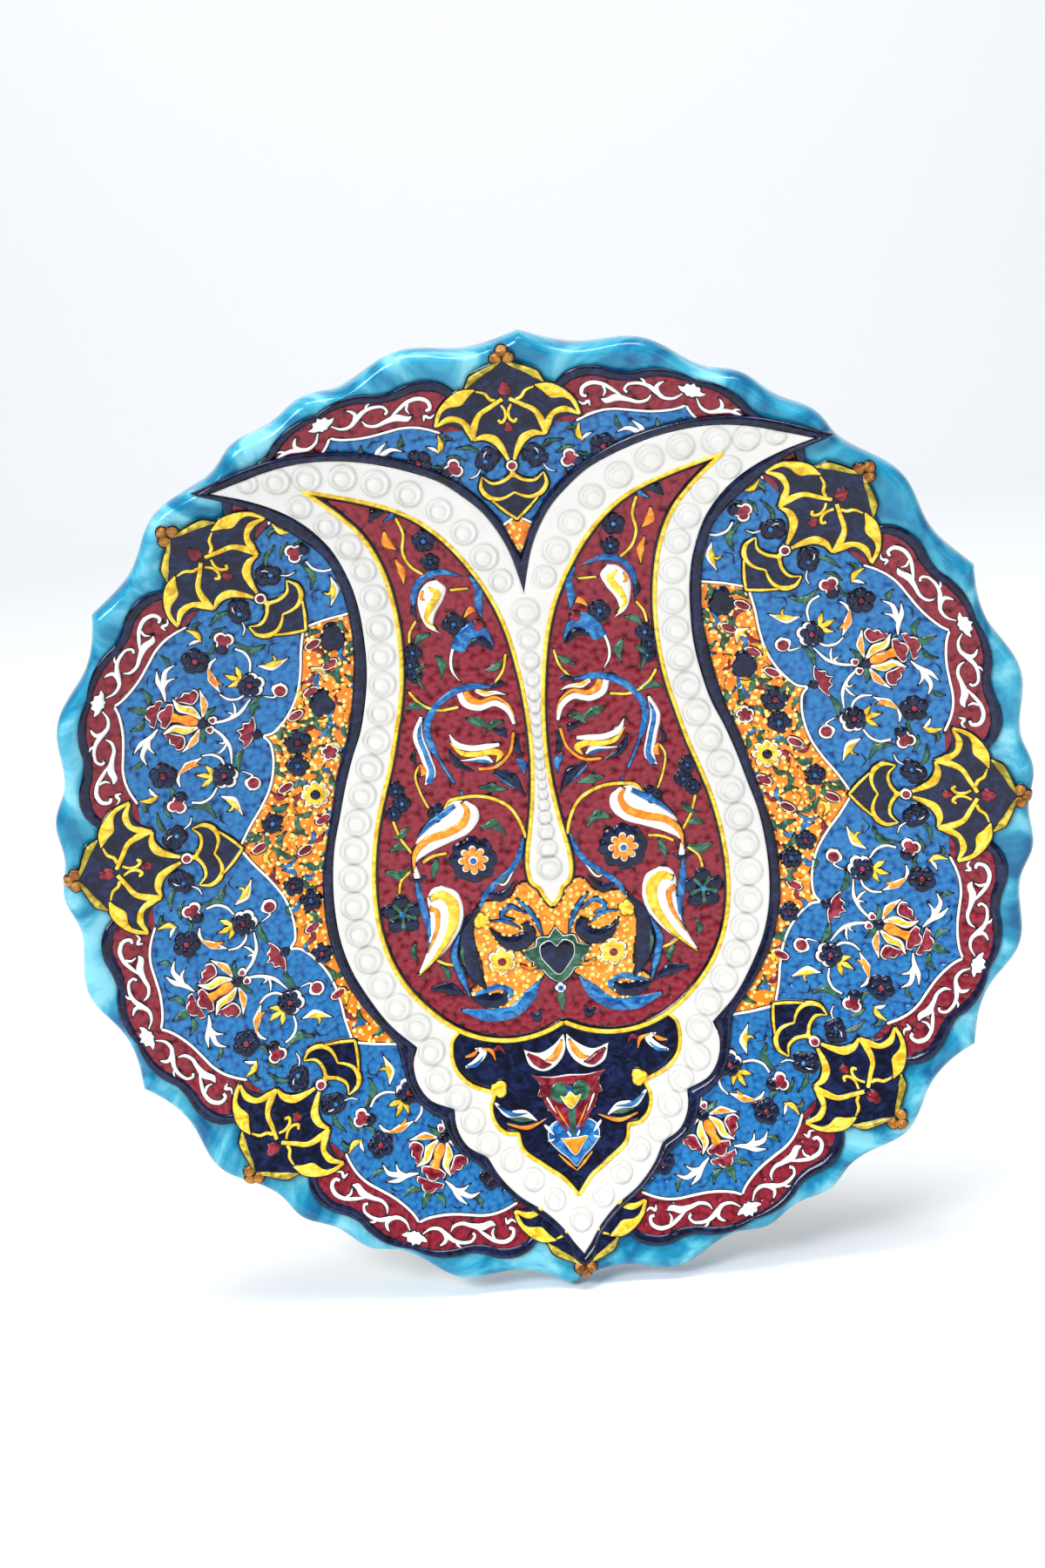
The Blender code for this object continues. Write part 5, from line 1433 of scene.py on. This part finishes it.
for side in (-1, 1):
    stroke(base, "white", [(side * 8, -94.8), (side * 5, -101), (side * 0.9, -108)], 0.9, 0.6, HIGH + 0.1,
           0.2)
stroke(base, "green", [(0, -98), (0, -103), (0, -107.6)], (4.2, 2.8, 0.8), lift=ON_NAVY + 0.35)
edged(base, "yellow", (0, -96), [
    (-3.4, -94.6), (-1.4, -95.2), (0, -93.6), (1.4, -95.2), (3.4, -94.6), (1.6, -97.6), (0, -99),
    (-1.6, -97.6),
], lift=HIGH + 0.5)
bead(base, "blue", (0, -92.6), 1.1, lift=HIGH + 0.4)
bead(base, "brown", (0, -148), 1.8, lift=ON_GROUND, height=1.2)
trail("cartouche", base, True, ["base_cartouche"])

# ---------------------------------------------------------------------------------------------
# The room: a pale floor that turns up into a pale wall, soft light from large panels, and a
# camera a little above the plate's middle.
# ---------------------------------------------------------------------------------------------
FLOOR_GAP = 0.0003
ROOM_REACH = 6.0  # of the floor forwards and to both sides, and of the wall upwards


def studio_floor():
    """A sheet swept from the floor up behind the plate through a quarter circle."""
    low = float(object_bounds()[0][2]) - FLOOR_GAP
    bend, back = 0.9, 1.6
    turn = np.linspace(0, pi / 2, 24)
    across = np.concatenate([[-ROOM_REACH], np.linspace(-1.5, back, 8), back + bend * np.sin(turn[1:]),
                             [back + bend]])
    up = np.concatenate([np.zeros(9), bend - bend * np.cos(turn[1:]), [ROOM_REACH]])
    sides = np.array([-ROOM_REACH, ROOM_REACH])
    points = np.stack([np.repeat(sides[None], len(across), 0), np.repeat(across[:, None], 2, 1),
                       np.repeat(up[:, None] + low, 2, 1)], -1).reshape(-1, 3)
    row = np.arange(len(across) - 1)
    quads = np.stack([2 * row, 2 * row + 1, 2 * row + 3, 2 * row + 2], -1)
    mesh = bpy.data.meshes.new("studio_floor")
    mesh.from_pydata(points.tolist(), [], quads.tolist())
    mesh.shade_smooth()
    paper = bpy.data.materials.new("studio_paper")
    paper.use_nodes = True
    shader = paper.node_tree.nodes["Principled BSDF"]
    shader.inputs["Base Color"].default_value = (0.93, 0.95, 0.97, 1)
    shader.inputs["Roughness"].default_value = 0.6
    mesh.materials.append(paper)
    floor = bpy.data.objects.new("studio_floor", mesh)
    bpy.context.scene.collection.objects.link(floor)
    floor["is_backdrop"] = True


def soft_panel(name, place, target, size, power):
    """A rectangular light that faces the target."""
    light = bpy.data.lights.new(name, "AREA")
    light.shape = "RECTANGLE"
    light.size, light.size_y = size
    light.energy = power
    panel = bpy.data.objects.new(name, light)
    panel.location = place
    panel.rotation_euler = (Vector(target) - Vector(place)).to_track_quat("-Z", "Y").to_euler()
    bpy.context.scene.collection.objects.link(panel)


def view_camera():
    """The camera looks down at 15 degrees on the plate, turned a little so that the tulip leans left."""
    camera = bpy.data.objects.new("camera", bpy.data.cameras.new("camera"))
    camera.data.sensor_fit = "VERTICAL"
    camera.data.sensor_height = 36.0
    camera.data.lens = 50.0
    tilt, swing, roll = radians(15.2), radians(0.34), radians(5.24)
    turn = Matrix.Rotation(tilt, 3, "X") @ Matrix.Rotation(swing, 3, "Y") @ Matrix.Rotation(roll, 3, "Z")
    seen = Vector((7.3, -16.3, -678.9))  # the crest's middle as the camera sees it: right, up, back
    upright = Matrix(((1, 0, 0), (0, 0, -1), (0, 1, 0)))  # plan to world
    crest_plane = FOOT_HEIGHT + WELL_WALL + DISH_DEPTH - 1
    middle = Vector((0, -crest_plane * UNIT, CENTRE_HEIGHT))
    place = middle - upright @ (turn.transposed() @ (seen * UNIT))
    camera.matrix_world = Matrix.Translation(place) @ (upright @ turn.transposed()).to_4x4()
    bpy.context.scene.collection.objects.link(camera)
    bpy.context.scene.camera = camera


studio_floor()
middle = (0, 0, CENTRE_HEIGHT)
soft_panel("window_panel", (-0.9, -1.1, 0.9), middle, (0.6, 0.6), 21)
soft_panel("fill_panel", (1.2, -1.3, 0.3), middle, (1.2, 1.2), 6)
soft_panel("top_panel", (0.1, -0.3, 1.5), middle, (1.4, 0.8), 10)
soft_panel("backdrop_panel", (0, -0.3, 2.2), (0, 1.9, 0.8), (1.6, 0.6), 40)
world = bpy.data.worlds.new("studio_air")
world.use_nodes = True
air = world.node_tree.nodes["Background"]
air.inputs["Color"].default_value = (0.95, 0.97, 1.0, 1)
air.inputs["Strength"].default_value = 0.34
bpy.context.scene.world = world
bpy.context.scene.view_settings.view_transform = "Standard"
view_camera()
